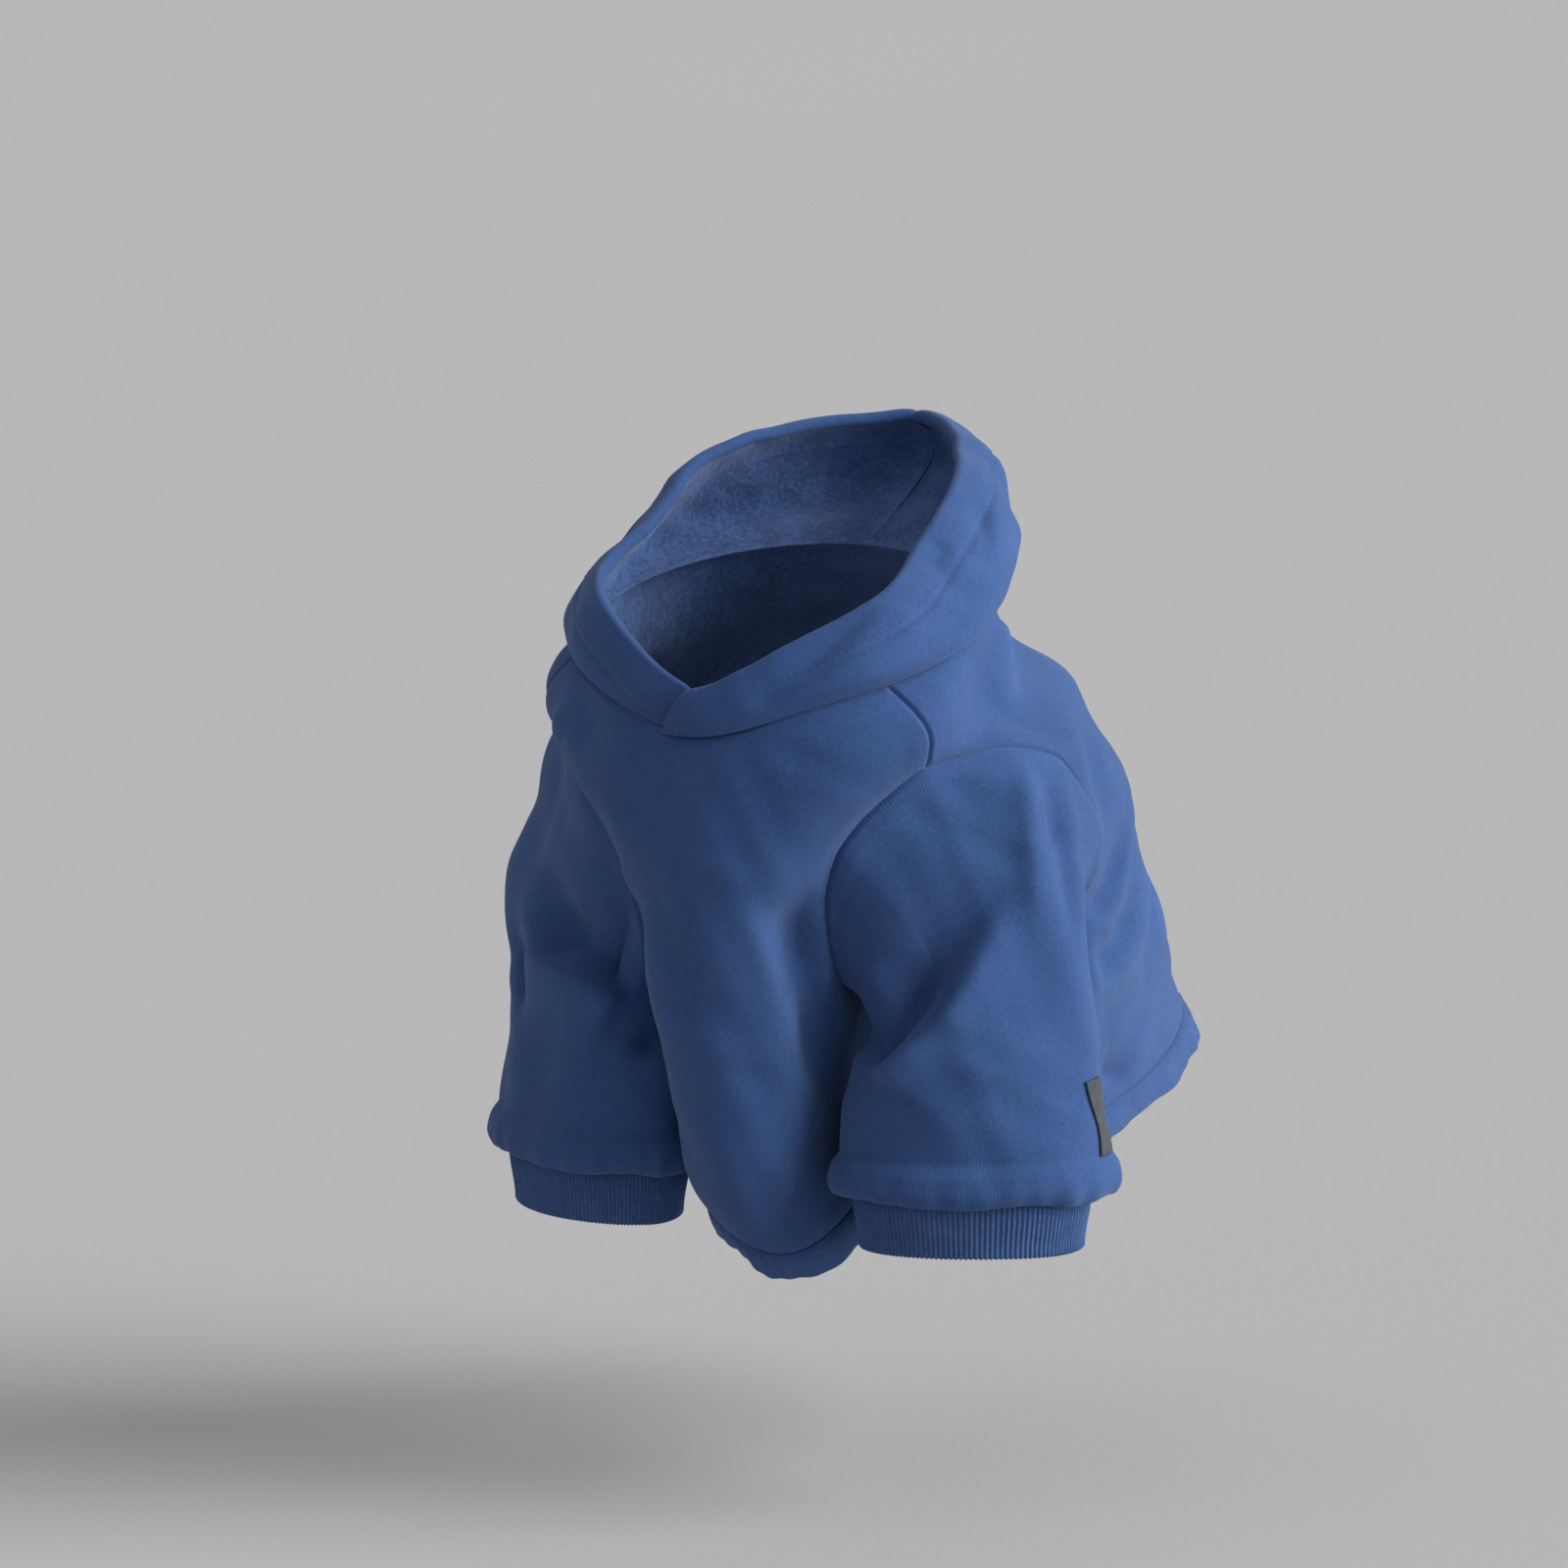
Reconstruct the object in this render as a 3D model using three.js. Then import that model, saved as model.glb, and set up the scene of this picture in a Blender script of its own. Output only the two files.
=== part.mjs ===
// A dog hoodie: a pullover in brushed sweatshirt fleece, in the shape that it takes when it is worn sitting.
// Millimetres, +Z up. The wearer faces -Y, with the left side at +X. The origin is at the withers: the
// middle of the back neckline, where the garment hangs.
import * as THREE from "three";

// The cloth, the gap that neighbouring pieces keep at a seam, and how far a fold reaches
const WALL = 3;
const SEAM_GAP = 0.5;
const FOLD_WIDTH = 9;
const FOLD_DEPTH = 3.6;

// The neckline, seen from above, how far its front lies below its back, and the dip at its very front
const NECK_WIDTH = 140;
const NECK_LENGTH = 124;
const NECK_DROP = 35;
const NECK_DIP = 9;

// The body, from the neckline to the hem's lower edge. The front's hem ends in a tongue between the sleeves.
const FRONT_LENGTH = 180;
const FRONT_SET_BACK = 43;
const BACK_REACH = 150;
const BACK_DROP = 170;
const BODY_WIDTH = 190;
const CHEST_CLEARANCE = 3;
const FLANK_CLEARANCE = 28;
const TONGUE_DROP = 16;
const HEM_HEIGHT = 10;
const HEM_FLARE = 3;
const HEM_WALL = 4;
const HEM_PROUD = 0.5;

// The sleeves: flattened tubes, turned so that their broad side faces out and forward
const SLEEVE_SPACING = 141;
const SLEEVE_FORWARD = 59;
const SLEEVE_WIDTH = 91;
const SLEEVE_THICKNESS = 60;
const SLEEVE_TURN = 30;
const SLEEVE_DROP = 185;
const BLOUSE_HEIGHT = 15;
const CUFF_HEIGHT = 16;
const CUFF_WIDTH = 78;
const CUFF_THICKNESS = 52;
const CUFF_NARROWING = 4;

// The hood, of double cloth, whose two halves cross at the front
const HOOD_WALL = 4.5;
const HOOD_HEIGHT = 42;
const HOOD_REACH = 28;
const HOOD_BELLY = 38;
const HOOD_CROSSING = 12;

// The woven label on the left sleeve
const LABEL_WALL = 0.8;
const LABEL_LENGTH = 27;
const LABEL_WIDTH = 10;
const LABEL_DROP = 160;
const LABEL_TURN = 0.515;

// Finishes
const FLEECE = { color: 0x2f4f8c, roughness: 0.92, metalness: 0 };
const RIB_KNIT = { color: 0x2c4a85, roughness: 0.95, metalness: 0 };
const WOVEN_TAPE = { color: 0x4a4f57, roughness: 0.8, metalness: 0 };

// The body's front and back lines, from the neckline (0) to the hem's edge (1). frontBack and frontDown are
// shares of FRONT_SET_BACK and FRONT_LENGTH, backOut and backDown of BACK_REACH and BACK_DROP.
const LINE_ROWS = [
  { at: 0, frontBack: 0, frontDown: 0, backOut: 0, backDown: 0 },
  { at: 0.12, frontBack: -0.08, frontDown: 0.12, backOut: 0.12, backDown: 0.1 },
  { at: 0.25, frontBack: -0.1, frontDown: 0.27, backOut: 0.29, backDown: 0.22 },
  { at: 0.4, frontBack: -0.02, frontDown: 0.43, backOut: 0.48, backDown: 0.375 },
  { at: 0.55, frontBack: 0.1, frontDown: 0.59, backOut: 0.64, backDown: 0.54 },
  { at: 0.7, frontBack: 0.27, frontDown: 0.74, backOut: 0.78, backDown: 0.69 },
  { at: 0.85, frontBack: 0.54, frontDown: 0.88, backOut: 0.89, backDown: 0.85 },
  { at: 1, frontBack: 1, frontDown: 1, backOut: 1, backDown: 1 },
];

// The body's width at the same sections. neck is how much of the neckline's own width is left, chest how far
// the front's width has opened from the chest between the sleeves to BODY_WIDTH, flank the back's share of
// BODY_WIDTH, round the front curve's share of the depth, and forward how far in front of the sleeve the body
// has reached its full width, from 0 behind it to 1.
const WIDTH_ROWS = [
  { at: 0, neck: 1, chest: 1, flank: 0.74, round: 0.5, forward: 1 },
  { at: 0.12, neck: 0.15, chest: 0.8, flank: 0.82, round: 0.44, forward: 1 },
  { at: 0.25, neck: 0, chest: 0.45, flank: 0.97, round: 0.36, forward: 0.85 },
  { at: 0.4, neck: 0, chest: 0.17, flank: 0.93, round: 0.26, forward: 0.3 },
  { at: 0.55, neck: 0, chest: 0.08, flank: 0.88, round: 0.19, forward: 0 },
  { at: 0.7, neck: 0, chest: 0.02, flank: 0.84, round: 0.15, forward: 0 },
  { at: 0.85, neck: 0, chest: 0, flank: 0.81, round: 0.13, forward: 0 },
  { at: 1, neck: 0, chest: 0, flank: 0.79, round: 0.12, forward: 0 },
];
const BACK_SQUARENESS = 2.1;
const NECK_SQUARENESS = 2;

// The armhole seam as a closed loop on the body: from under the arm up the front to the shoulder seam, over
// the top and down the back. along is the share from the chest to the spine, down from the neck to the hem.
const ARMHOLE_ROWS = [
  { along: 0.39, down: 0.59 },
  { along: 0.31, down: 0.565 },
  { along: 0.27, down: 0.45 },
  { along: 0.285, down: 0.31 },
  { along: 0.36, down: 0.18 },
  { along: 0.46, down: 0.19 },
  { along: 0.535, down: 0.25 },
  { along: 0.555, down: 0.38 },
  { along: 0.49, down: 0.52 },
];
const SHOULDER_ROW = 4;
const HOLE_MIDDLE = { along: 0.42, down: 0.34 };
const SHOULDER_AT_NECK = 0.266;
const YOKE_DOWN = 0.12;
const SIDE_SEAM_AT_HEM = 0.4;

// How the sleeve leaves the armhole, row by row of it: lean is the angle from the body's normal towards the
// hole's middle, reach how far it keeps that direction, as a share of SLEEVE_WIDTH.
const SPRING_ROWS = [
  { lean: 0, reach: 0.3 },
  { lean: 10, reach: 0.35 },
  { lean: 25, reach: 0.45 },
  { lean: 45, reach: 0.7 },
  { lean: 66, reach: 0.9 },
  { lean: 66, reach: 0.95 },
  { lean: 50, reach: 0.8 },
  { lean: 35, reach: 0.6 },
  { lean: 10, reach: 0.4 },
];
const UNDERARM_ANGLE = 160;
const SLEEVE_FALL = 0.9;

// The bloused end of a sleeve over its cuff: out and down are shares of BLOUSE_HEIGHT.
const BLOUSE_ROWS = [
  { out: -0.06, down: 0 },
  { out: 0.1, down: 0.3 },
  { out: 0.16, down: 0.62 },
  { out: 0.02, down: 0.92 },
  { out: -0.22, down: 0.98 },
];

// The hood, from the neckline's front (0) to the centre back seam (1). rise is the opening edge's height over
// the neckline as a share of HOOD_HEIGHT, out its distance outward of it as a share of HOOD_REACH, and
// bellyLow and bellyHigh the swell of the cloth between them as shares of HOOD_BELLY.
const HOOD_ROWS = [
  { at: 0, rise: 0.3, out: 0, bellyLow: 0.1, bellyHigh: 0.05 },
  { at: 0.15, rise: 0.42, out: -0.08, bellyLow: 0.18, bellyHigh: 0.1 },
  { at: 0.3, rise: 0.56, out: -0.24, bellyLow: 0.3, bellyHigh: 0.2 },
  { at: 0.5, rise: 0.7, out: -0.64, bellyLow: 0.42, bellyHigh: 0.5 },
  { at: 0.75, rise: 0.93, out: -0.1, bellyLow: 0.72, bellyHigh: 0.8 },
  { at: 1, rise: 1, out: 1, bellyLow: 1, bellyHigh: 0.85 },
];

// Folds pressed into the sleeves and the body, each along a line. across is the share of a turn on a sleeve,
// or from the chest to the spine on the body, and down the share of the length. width and depth are shares
// of FOLD_WIDTH and FOLD_DEPTH, with depth below 0 for a valley.
const SLEEVE_FOLDS = [
  { side: 1, fromAcross: 0.15, fromDown: 0.6, toAcross: 0.47, toDown: 0.34, width: 0.9, depth: -1 },
  { side: 1, fromAcross: 0.16, fromDown: 0.72, toAcross: 0.48, toDown: 0.46, width: 1.1, depth: 0.8 },
  { side: 1, fromAcross: 0.35, fromDown: 0.08, toAcross: 0.23, toDown: 0.15, width: 0.5, depth: -0.4 },
  { side: 1, fromAcross: 0.59, fromDown: 0.08, toAcross: 0.53, toDown: 0.28, width: 0.6, depth: 0.5 },
  { side: 1, fromAcross: 0.53, fromDown: 0.28, toAcross: 0.46, toDown: 0.55, width: 0.6, depth: 0.5 },
  { side: 1, fromAcross: 0.86, fromDown: 0.54, toAcross: 0.66, toDown: 0.68, width: 1, depth: -0.6 },
  { side: -1, fromAcross: 0.43, fromDown: 0.54, toAcross: 0.22, toDown: 0.42, width: 0.8, depth: -1.1 },
  { side: -1, fromAcross: 0.43, fromDown: 0.41, toAcross: 0.22, toDown: 0.28, width: 1.1, depth: 0.9 },
  { side: -1, fromAcross: 0.51, fromDown: 0.58, toAcross: 0.32, toDown: 0.69, width: 0.7, depth: -0.8 },
  { side: -1, fromAcross: 0.12, fromDown: 0.7, toAcross: 0.06, toDown: 0.52, width: 0.6, depth: -0.6 },
  { side: -1, fromAcross: 0.84, fromDown: 0.52, toAcross: 0.62, toDown: 0.66, width: 1, depth: -0.6 },
];
const BODY_FOLDS = [
  { side: 1, fromAcross: 0.58, fromDown: 0.12, toAcross: 0.51, toDown: 0.17, width: 0.8, depth: 0.5 },
  { side: 1, fromAcross: 0.68, fromDown: 0.23, toAcross: 0.6, toDown: 0.4, width: 0.9, depth: -0.6 },
  { side: 1, fromAcross: 0.6, fromDown: 0.42, toAcross: 0.57, toDown: 0.66, width: 1.2, depth: -0.9 },
  { side: 1, fromAcross: 0.66, fromDown: 0.46, toAcross: 0.6, toDown: 0.56, width: 0.8, depth: 0.6 },
  { side: 1, fromAcross: 0.7, fromDown: 0.57, toAcross: 0.55, toDown: 0.72, width: 0.9, depth: 0.8 },
  { side: 1, fromAcross: 0.5, fromDown: 0.86, toAcross: 0.54, toDown: 0.94, width: 0.7, depth: -0.6 },
  { side: -1, fromAcross: 0.02, fromDown: 0.38, toAcross: 0.035, toDown: 0.64, width: 0.8, depth: -0.5 },
  { side: -1, fromAcross: 0.62, fromDown: 0.4, toAcross: 0.56, toDown: 0.62, width: 1.1, depth: -0.8 },
  { side: -1, fromAcross: 0.72, fromDown: 0.5, toAcross: 0.58, toDown: 0.7, width: 1, depth: 0.7 },
];

// Where each form fades in or out, from one share of its piece to another
const FADE = {
  dip: [0, 0.3],
  tongue: [0.5, 1],
  flare: [0.9, 1],
  flareOut: [0.5, 0.8],
  flareBack: [0.6, 1],
  bodyFolds: [0, 0.1],
  sleeveFoldsIn: [0, 0.15],
  sleeveFoldsOut: [0.85, 1],
  crossing: [0.02, 0.2],
};

// How wide the dip and the tongue are as shares of half a turn, and how far off the middle the tongue lies
const MIDDLE_WIDTH = 0.16;
const TONGUE_MIDDLE = 0.07;

// How far up the hood's own rise its cloth swells most, from its two edges
const SWELL_RISE = 0.25;

// Shares: a small step for directions, how near an edge they are taken, a step from the armhole towards its
// middle, the stretches of the hood along which its directions are taken, and how often a search is halved
const STEP = 1e-3;
const EDGE_SHARE = 0.002;
const NEARER = 0.05;
const HOOD_OUTWARD = [-0.5, 0.999];
const HOOD_FACING = [-0.4, 0.99];
const HALVINGS = 20;

// Grid counts
const FRONT_ACROSS = 18;
const BACK_ACROSS = 24;
const EDGE_CROWDING = 1.5;
const SHOULDER_ROWS = 2;
const SIDE_ROWS = 7;
const SLEEVE_AROUND = 27;
const SLEEVE_ROWS = 14;
const CUFF_ROWS = 3;
const HEM_AROUND = 44;
const HEM_ROWS = 2;
const HOOD_ALONG = 15;
const HOOD_ROWS_UP = 10;
const LABEL_GRID = { down: 4, across: 3 };

const radians = THREE.MathUtils.degToRad;
const lerp = THREE.MathUtils.lerp;
const clamp = THREE.MathUtils.clamp;
const point = (x, y, z) => new THREE.Vector3(x, y, z);
const halfGap = SEAM_GAP / 2;

function smooth(low, high, value) {
  const t = clamp((value - low) / (high - low), 0, 1);
  return t * t * (3 - 2 * t);
}

const bump = (distance, width) => Math.exp(-((distance / width) ** 2));

// The slope at a value between its neighbours, level where the values turn, so that a curve never overshoots.
function slopeAt(before, here, after) {
  const rise = here - before;
  const next = after - here;
  return rise * next <= 0 ? 0 : (2 * rise * next) / (rise + next);
}

// The cubic through four neighbouring values, between the middle two.
function cubic(before, from, to, after, t) {
  const slopeFrom = slopeAt(before, from, to);
  const slopeTo = slopeAt(from, to, after);
  const a = 2 * from - 2 * to + slopeFrom + slopeTo;
  const b = -3 * from + 3 * to - 2 * slopeFrom - slopeTo;
  return ((a * t + b) * t + slopeFrom) * t + from;
}

// One named column of an open table whose rows are placed by `at`, as a smooth function of that place.
function column(rows, key) {
  const last = rows.length - 1;
  const value = (k) => rows[clamp(k, 0, last)][key];
  return (place) => {
    let i = 0;
    while (i < last - 1 && place > rows[i + 1].at) i++;
    const t = (place - rows[i].at) / (rows[i + 1].at - rows[i].at);
    const before = i > 0 ? value(i - 1) : 2 * value(0) - value(1);
    const after = i + 2 <= last ? value(i + 2) : 2 * value(last) - value(last - 1);
    return cubic(before, value(i), value(i + 1), after, t);
  };
}

// One named column of a closed table with evenly spaced rows, as a smooth function of the turn (0 to 1).
function loopColumn(rows, key) {
  const n = rows.length;
  const value = (k) => rows[(k + n) % n][key];
  return (turn) => {
    const place = (((turn % 1) + 1) % 1) * n;
    const i = Math.floor(place);
    return cubic(value(i - 1), value(i), value(i + 1), value(i + 2), place - i);
  };
}

function columns(rows) {
  const keys = Object.keys(rows[0]).filter((key) => key !== "at");
  return Object.fromEntries(keys.map((key) => [key, column(rows, key)]));
}

const body = { ...columns(LINE_ROWS), ...columns(WIDTH_ROWS) };
const hood = columns(HOOD_ROWS);
const armholeAlong = loopColumn(ARMHOLE_ROWS, "along");
const armholeDown = loopColumn(ARMHOLE_ROWS, "down");
const springLean = loopColumn(SPRING_ROWS, "lean");
const springReach = loopColumn(SPRING_ROWS, "reach");
const shoulderTurn = SHOULDER_ROW / ARMHOLE_ROWS.length;

// How far the folds of a table move a place of the cloth outward. girth and length are the cloth's size.
function foldHeight(folds, side, across, down, girth, length) {
  let height = 0;
  for (const fold of folds) {
    if (fold.side !== side) continue;
    const from = new THREE.Vector2(fold.fromAcross * girth, fold.fromDown * length);
    const run = new THREE.Vector2(fold.toAcross * girth, fold.toDown * length).sub(from);
    const offset = new THREE.Vector2(across * girth, down * length).sub(from);
    const t = clamp(offset.dot(run) / run.lengthSq(), 0, 1);
    const distance = offset.addScaledVector(run, -t).length();
    height += FOLD_DEPTH * fold.depth * bump(distance, FOLD_WIDTH * fold.width);
  }
  return height;
}

// The outward normal of a surface given by two parameters, by central differences.
function normalOf(surface, a, b) {
  const alongA = surface(a + STEP, b).sub(surface(a - STEP, b));
  const alongB = surface(a, b + STEP).sub(surface(a, b - STEP));
  return alongA.cross(alongB).normalize();
}

const insideShare = (share) => clamp(share, EDGE_SHARE, 1 - EDGE_SHARE);

// The sleeve's reach across and lengthwise of the body, from its turned ellipse
const turnSine = Math.sin(radians(SLEEVE_TURN));
const turnCosine = Math.cos(radians(SLEEVE_TURN));
const sleeveReachX = Math.hypot((SLEEVE_WIDTH / 2) * turnCosine, (SLEEVE_THICKNESS / 2) * turnSine);
const sleeveReachY = Math.hypot((SLEEVE_WIDTH / 2) * turnSine, (SLEEVE_THICKNESS / 2) * turnCosine);
const chestHalf = SLEEVE_SPACING / 2 - sleeveReachX - CHEST_CLEARANCE;

// Half the body's width at a section, lengthwise place by place: narrow between the legs and wide behind.
function halfWidth(down, y) {
  const forward = body.forward(down);
  const openFrom = -SLEEVE_FORWARD - forward * sleeveReachY;
  const openTo = -SLEEVE_FORWARD + (1 - forward) * (sleeveReachY + FLANK_CLEARANCE);
  const front = lerp(chestHalf, BODY_WIDTH / 2, body.chest(down));
  const back = (BODY_WIDTH / 2) * body.flank(down);
  return lerp(lerp(front, back, smooth(openFrom, openTo, y)), NECK_WIDTH / 2, body.neck(down));
}

// A point of the body's smooth form. along runs from the chest's middle (0) to the spine (1), down from the
// neckline (0) to the hem's edge (1), and side is 1 on the wearer's left and -1 on the right.
function bodyForm(along, down, side) {
  const frontY = -NECK_LENGTH + FRONT_SET_BACK * body.frontBack(down);
  const frontZ = -NECK_DROP - FRONT_LENGTH * body.frontDown(down);
  const backY = BACK_REACH * body.backOut(down);
  const backZ = -BACK_DROP * body.backDown(down);
  const share = (1 - Math.cos(Math.PI * along)) / 2;
  const y = lerp(frontY, backY, share);

  const squareness = lerp(BACK_SQUARENESS, NECK_SQUARENESS, body.neck(down));
  const frontShare = Math.min(share / body.round(down), 1);
  const backShare = clamp(2 * share - 1, 0, 1);
  const fromFront = Math.sqrt(1 - (1 - frontShare) ** 2);
  const fromBack = (1 - backShare ** squareness) ** (1 / squareness);

  const dip = NECK_DIP * bump(along, MIDDLE_WIDTH) * (1 - smooth(...FADE.dip, down));
  const offTongue = along * side - TONGUE_MIDDLE;
  const tongue = TONGUE_DROP * bump(offTongue, MIDDLE_WIDTH) * smooth(...FADE.tongue, down);
  const flare = HEM_FLARE * smooth(...FADE.flare, down);
  const flareOut = flare * smooth(...FADE.flareOut, along) * fromBack;
  const flareBack = flare * smooth(...FADE.flareBack, along);
  return point(
    side * (halfWidth(down, y) * fromFront * fromBack + flareOut),
    y + flareBack,
    lerp(frontZ, backZ, share) - dip - tongue,
  );
}

// The outward normal of a surface of the body, which lies in the middle plane at the chest and the spine.
function outwardOf(surface, along, down, side) {
  const normal = normalOf((a, d) => surface(a, d, side), insideShare(along), insideShare(down));
  normal.multiplyScalar(-side);
  if (along !== insideShare(along)) normal.setX(0).normalize();
  return normal;
}

// A point of the body's outer face, with its folds. They fade out at the neckline.
function bodyPoint(along, down, side) {
  const girth = (Math.PI / 2) * BODY_WIDTH;
  const fade = smooth(...FADE.bodyFolds, down);
  const height = foldHeight(BODY_FOLDS, side, along, down, girth, FRONT_LENGTH) * fade;
  return bodyForm(along, down, side).addScaledVector(outwardOf(bodyForm, along, down, side), height);
}

const bodyNormal = (along, down, side) => outwardOf(bodyPoint, along, down, side);

// The triangles, turned round if they enclose a negative volume, as on the mirrored side.
function facingOut(positions, triangles) {
  const at = (i) => point(...positions.slice(3 * i, 3 * i + 3));
  let volume = 0;
  for (let i = 0; i < triangles.length; i += 3)
    volume += at(triangles[i]).dot(at(triangles[i + 1]).cross(at(triangles[i + 2])));
  return volume > 0 ? triangles : [...triangles].reverse();
}

// A closed wall from a grid of outer points and the matching grid of inner points. around says whether the
// rows close on themselves, as in a tube. Each four-sided cell is split along its shorter diagonal.
function wall(outer, inner, around) {
  const rows = outer.length;
  const across = outer[0].length;
  const positions = [...outer.flat(), ...inner.flat()].flatMap((p) => [p.x, p.y, p.z]);
  const id = (layer, i, j) => layer * rows * across + i * across + (j % across);
  const triangles = [];
  const quad = (a, b, c, d) => triangles.push(a, b, c, a, c, d);
  const last = around ? across : across - 1;
  const gap = (i, j, k, l) => outer[i][j % across].distanceTo(outer[k][l % across]);
  for (let i = 0; i < rows - 1; i++)
    for (let j = 0; j < last; j++)
      for (const layer of [0, 1]) {
        const corners = [id(layer, i, j), id(layer, i, j + 1), id(layer, i + 1, j + 1), id(layer, i + 1, j)];
        if (gap(i, j + 1, i + 1, j) < gap(i, j, i + 1, j + 1)) corners.push(corners.shift());
        const [a, b, c, d] = corners;
        if (layer === 0) quad(a, b, c, d);
        else quad(a, d, c, b);
      }
  for (let j = 0; j < last; j++) {
    quad(id(0, 0, j), id(1, 0, j), id(1, 0, j + 1), id(0, 0, j + 1));
    quad(id(0, rows - 1, j), id(0, rows - 1, j + 1), id(1, rows - 1, j + 1), id(1, rows - 1, j));
  }
  if (!around)
    for (let i = 0; i < rows - 1; i++) {
      quad(id(0, i, 0), id(0, i + 1, 0), id(1, i + 1, 0), id(1, i, 0));
      quad(id(0, i, last), id(1, i, last), id(1, i + 1, last), id(0, i + 1, last));
    }
  const geometry = new THREE.BufferGeometry();
  geometry.setAttribute("position", new THREE.Float32BufferAttribute(positions, 3));
  geometry.setIndex(facingOut(positions, triangles));
  geometry.computeVertexNormals();
  return geometry;
}

// Rows of cells from a function of two shares, and for a tube the same without the repeated last column.
function grid(rows, across, at) {
  return Array.from({ length: rows + 1 }, (_, i) =>
    Array.from({ length: across + 1 }, (_, j) => at(i / rows, j / across)),
  );
}

const ringGrid = (rows, around, at) => grid(rows, around, at).map((row) => row.slice(0, -1));

// A mesh from cells that each hold a place on the outer face and the outward normal there.
function clothMesh(name, cells, around, thickness, finish) {
  const outer = cells.map((row) => row.map((cell) => cell.place));
  const innerPlace = (cell) => cell.place.clone().addScaledVector(cell.normal, -thickness);
  const inner = cells.map((row) => row.map(innerPlace));
  const mesh = new THREE.Mesh(wall(outer, inner, around), new THREE.MeshStandardMaterial(finish));
  mesh.name = name;
  return mesh;
}

const hemSeam = 1 - HEM_HEIGHT / FRONT_LENGTH;
const gapDown = halfGap / FRONT_LENGTH;

// The place on the body at a share of a turn round the armhole seam, moved off the seam away from the hole's
// middle, in shares of the distance to it.
function armholePlace(turn, away) {
  return {
    along: lerp(armholeAlong(turn), HOLE_MIDDLE.along, -away),
    down: lerp(armholeDown(turn), HOLE_MIDDLE.down, -away),
  };
}

// Half the seam gap as a share of the distance from the seam to the hole's middle
function gapShare(turn, side) {
  const seam = bodyPoint(armholeAlong(turn), armholeDown(turn), side);
  const middle = bodyPoint(HOLE_MIDDLE.along, HOLE_MIDDLE.down, side);
  return halfGap / seam.distanceTo(middle);
}

// A panel's side edge from the neckline to the hem seam, row by row: the shoulder seam, the armhole, then the
// side seam. The front panel goes round the armhole's front and the back panel round its back, and both take
// the places of the sleeve's own ring there. middleDown is where the row meets the panel's middle line.
function panelEdge(isFront, side) {
  const gapAlong = ((isFront ? -1 : 1) * halfGap) / ((Math.PI / 2) * BODY_WIDTH);
  const armholeRows = Math.round(SLEEVE_AROUND * (isFront ? shoulderTurn : 1 - shoulderTurn));
  const shoulder = { along: armholeAlong(shoulderTurn), down: armholeDown(shoulderTurn) };
  const underarm = { along: armholeAlong(0), down: armholeDown(0) };
  const edge = [];
  for (let i = 0; i < SHOULDER_ROWS; i++) {
    const t = i / SHOULDER_ROWS;
    edge.push({
      along: lerp(SHOULDER_AT_NECK, shoulder.along, t) + gapAlong,
      down: lerp(gapDown, shoulder.down, t),
      middleDown: lerp(gapDown, YOKE_DOWN, t),
    });
  }
  for (let i = 0; i <= armholeRows; i++) {
    const turn = shoulderTurn + ((isFront ? -1 : 1) * i) / SLEEVE_AROUND;
    const place = armholePlace(turn, gapShare(turn, side));
    if (i === 0 || i === armholeRows) place.along += gapAlong;
    edge.push({ ...place, middleDown: lerp(YOKE_DOWN, underarm.down, i / armholeRows) });
  }
  for (let i = 1; i <= SIDE_ROWS; i++) {
    const t = i / SIDE_ROWS;
    const down = lerp(underarm.down, hemSeam - gapDown, t);
    edge.push({ along: lerp(underarm.along, SIDE_SEAM_AT_HEM, t) + gapAlong, down, middleDown: down });
  }
  return edge;
}

// A panel is ruled from its middle line to its side edges, with its columns closer together near the edges.
function bodyPanel(name, isFront, across) {
  const edges = new Map([-1, 1].map((side) => [side, panelEdge(isFront, side)]));
  const rows = edges.get(1).length - 1;
  const middle = isFront ? 0 : 1;
  const cells = grid(rows, across, (row, place) => {
    const side = place < 0.5 ? -1 : 1;
    const edge = edges.get(side)[Math.round(row * rows)];
    const out = 1 - (1 - Math.abs(2 * place - 1)) ** EDGE_CROWDING;
    const along = lerp(middle, edge.along, out);
    const down = lerp(edge.middleDown, edge.down, out);
    return { place: bodyPoint(along, down, side), normal: bodyNormal(along, down, side) };
  });
  return clothMesh(name, cells, false, WALL, FLEECE);
}

// The folded hem band, all the way round.
function hemBand() {
  const cells = ringGrid(HEM_ROWS, HEM_AROUND, (row, turn) => {
    const side = turn < 0.5 ? 1 : -1;
    const along = 1 - Math.abs(2 * turn - 1);
    const down = lerp(hemSeam + gapDown, 1, row);
    const normal = bodyNormal(along, down, side);
    return { place: bodyPoint(along, down, side).addScaledVector(normal, HEM_PROUD), normal };
  });
  return clothMesh("hem_band", cells, true, HEM_WALL, FLEECE);
}

// A point of the sleeve's ring at a height, for a share of a turn from the underarm round the front.
function sleeveRing(turn, z, side, width, thickness) {
  const angle = radians(UNDERARM_ANGLE + 360 * turn);
  const broad = (width / 2) * Math.cos(angle);
  const thin = (thickness / 2) * Math.sin(angle);
  return point(
    side * (SLEEVE_SPACING / 2 + broad * turnCosine - thin * turnSine),
    -SLEEVE_FORWARD + broad * turnSine + thin * turnCosine,
    z,
  );
}

// A ring's point with the outward direction there.
function ringCell(turn, z, side, width, thickness) {
  const out = sleeveRing(turn, 0, side, thickness, width);
  return {
    place: sleeveRing(turn, z, side, width, thickness),
    normal: out.sub(point((side * SLEEVE_SPACING) / 2, -SLEEVE_FORWARD, 0)).normalize(),
  };
}

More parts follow.
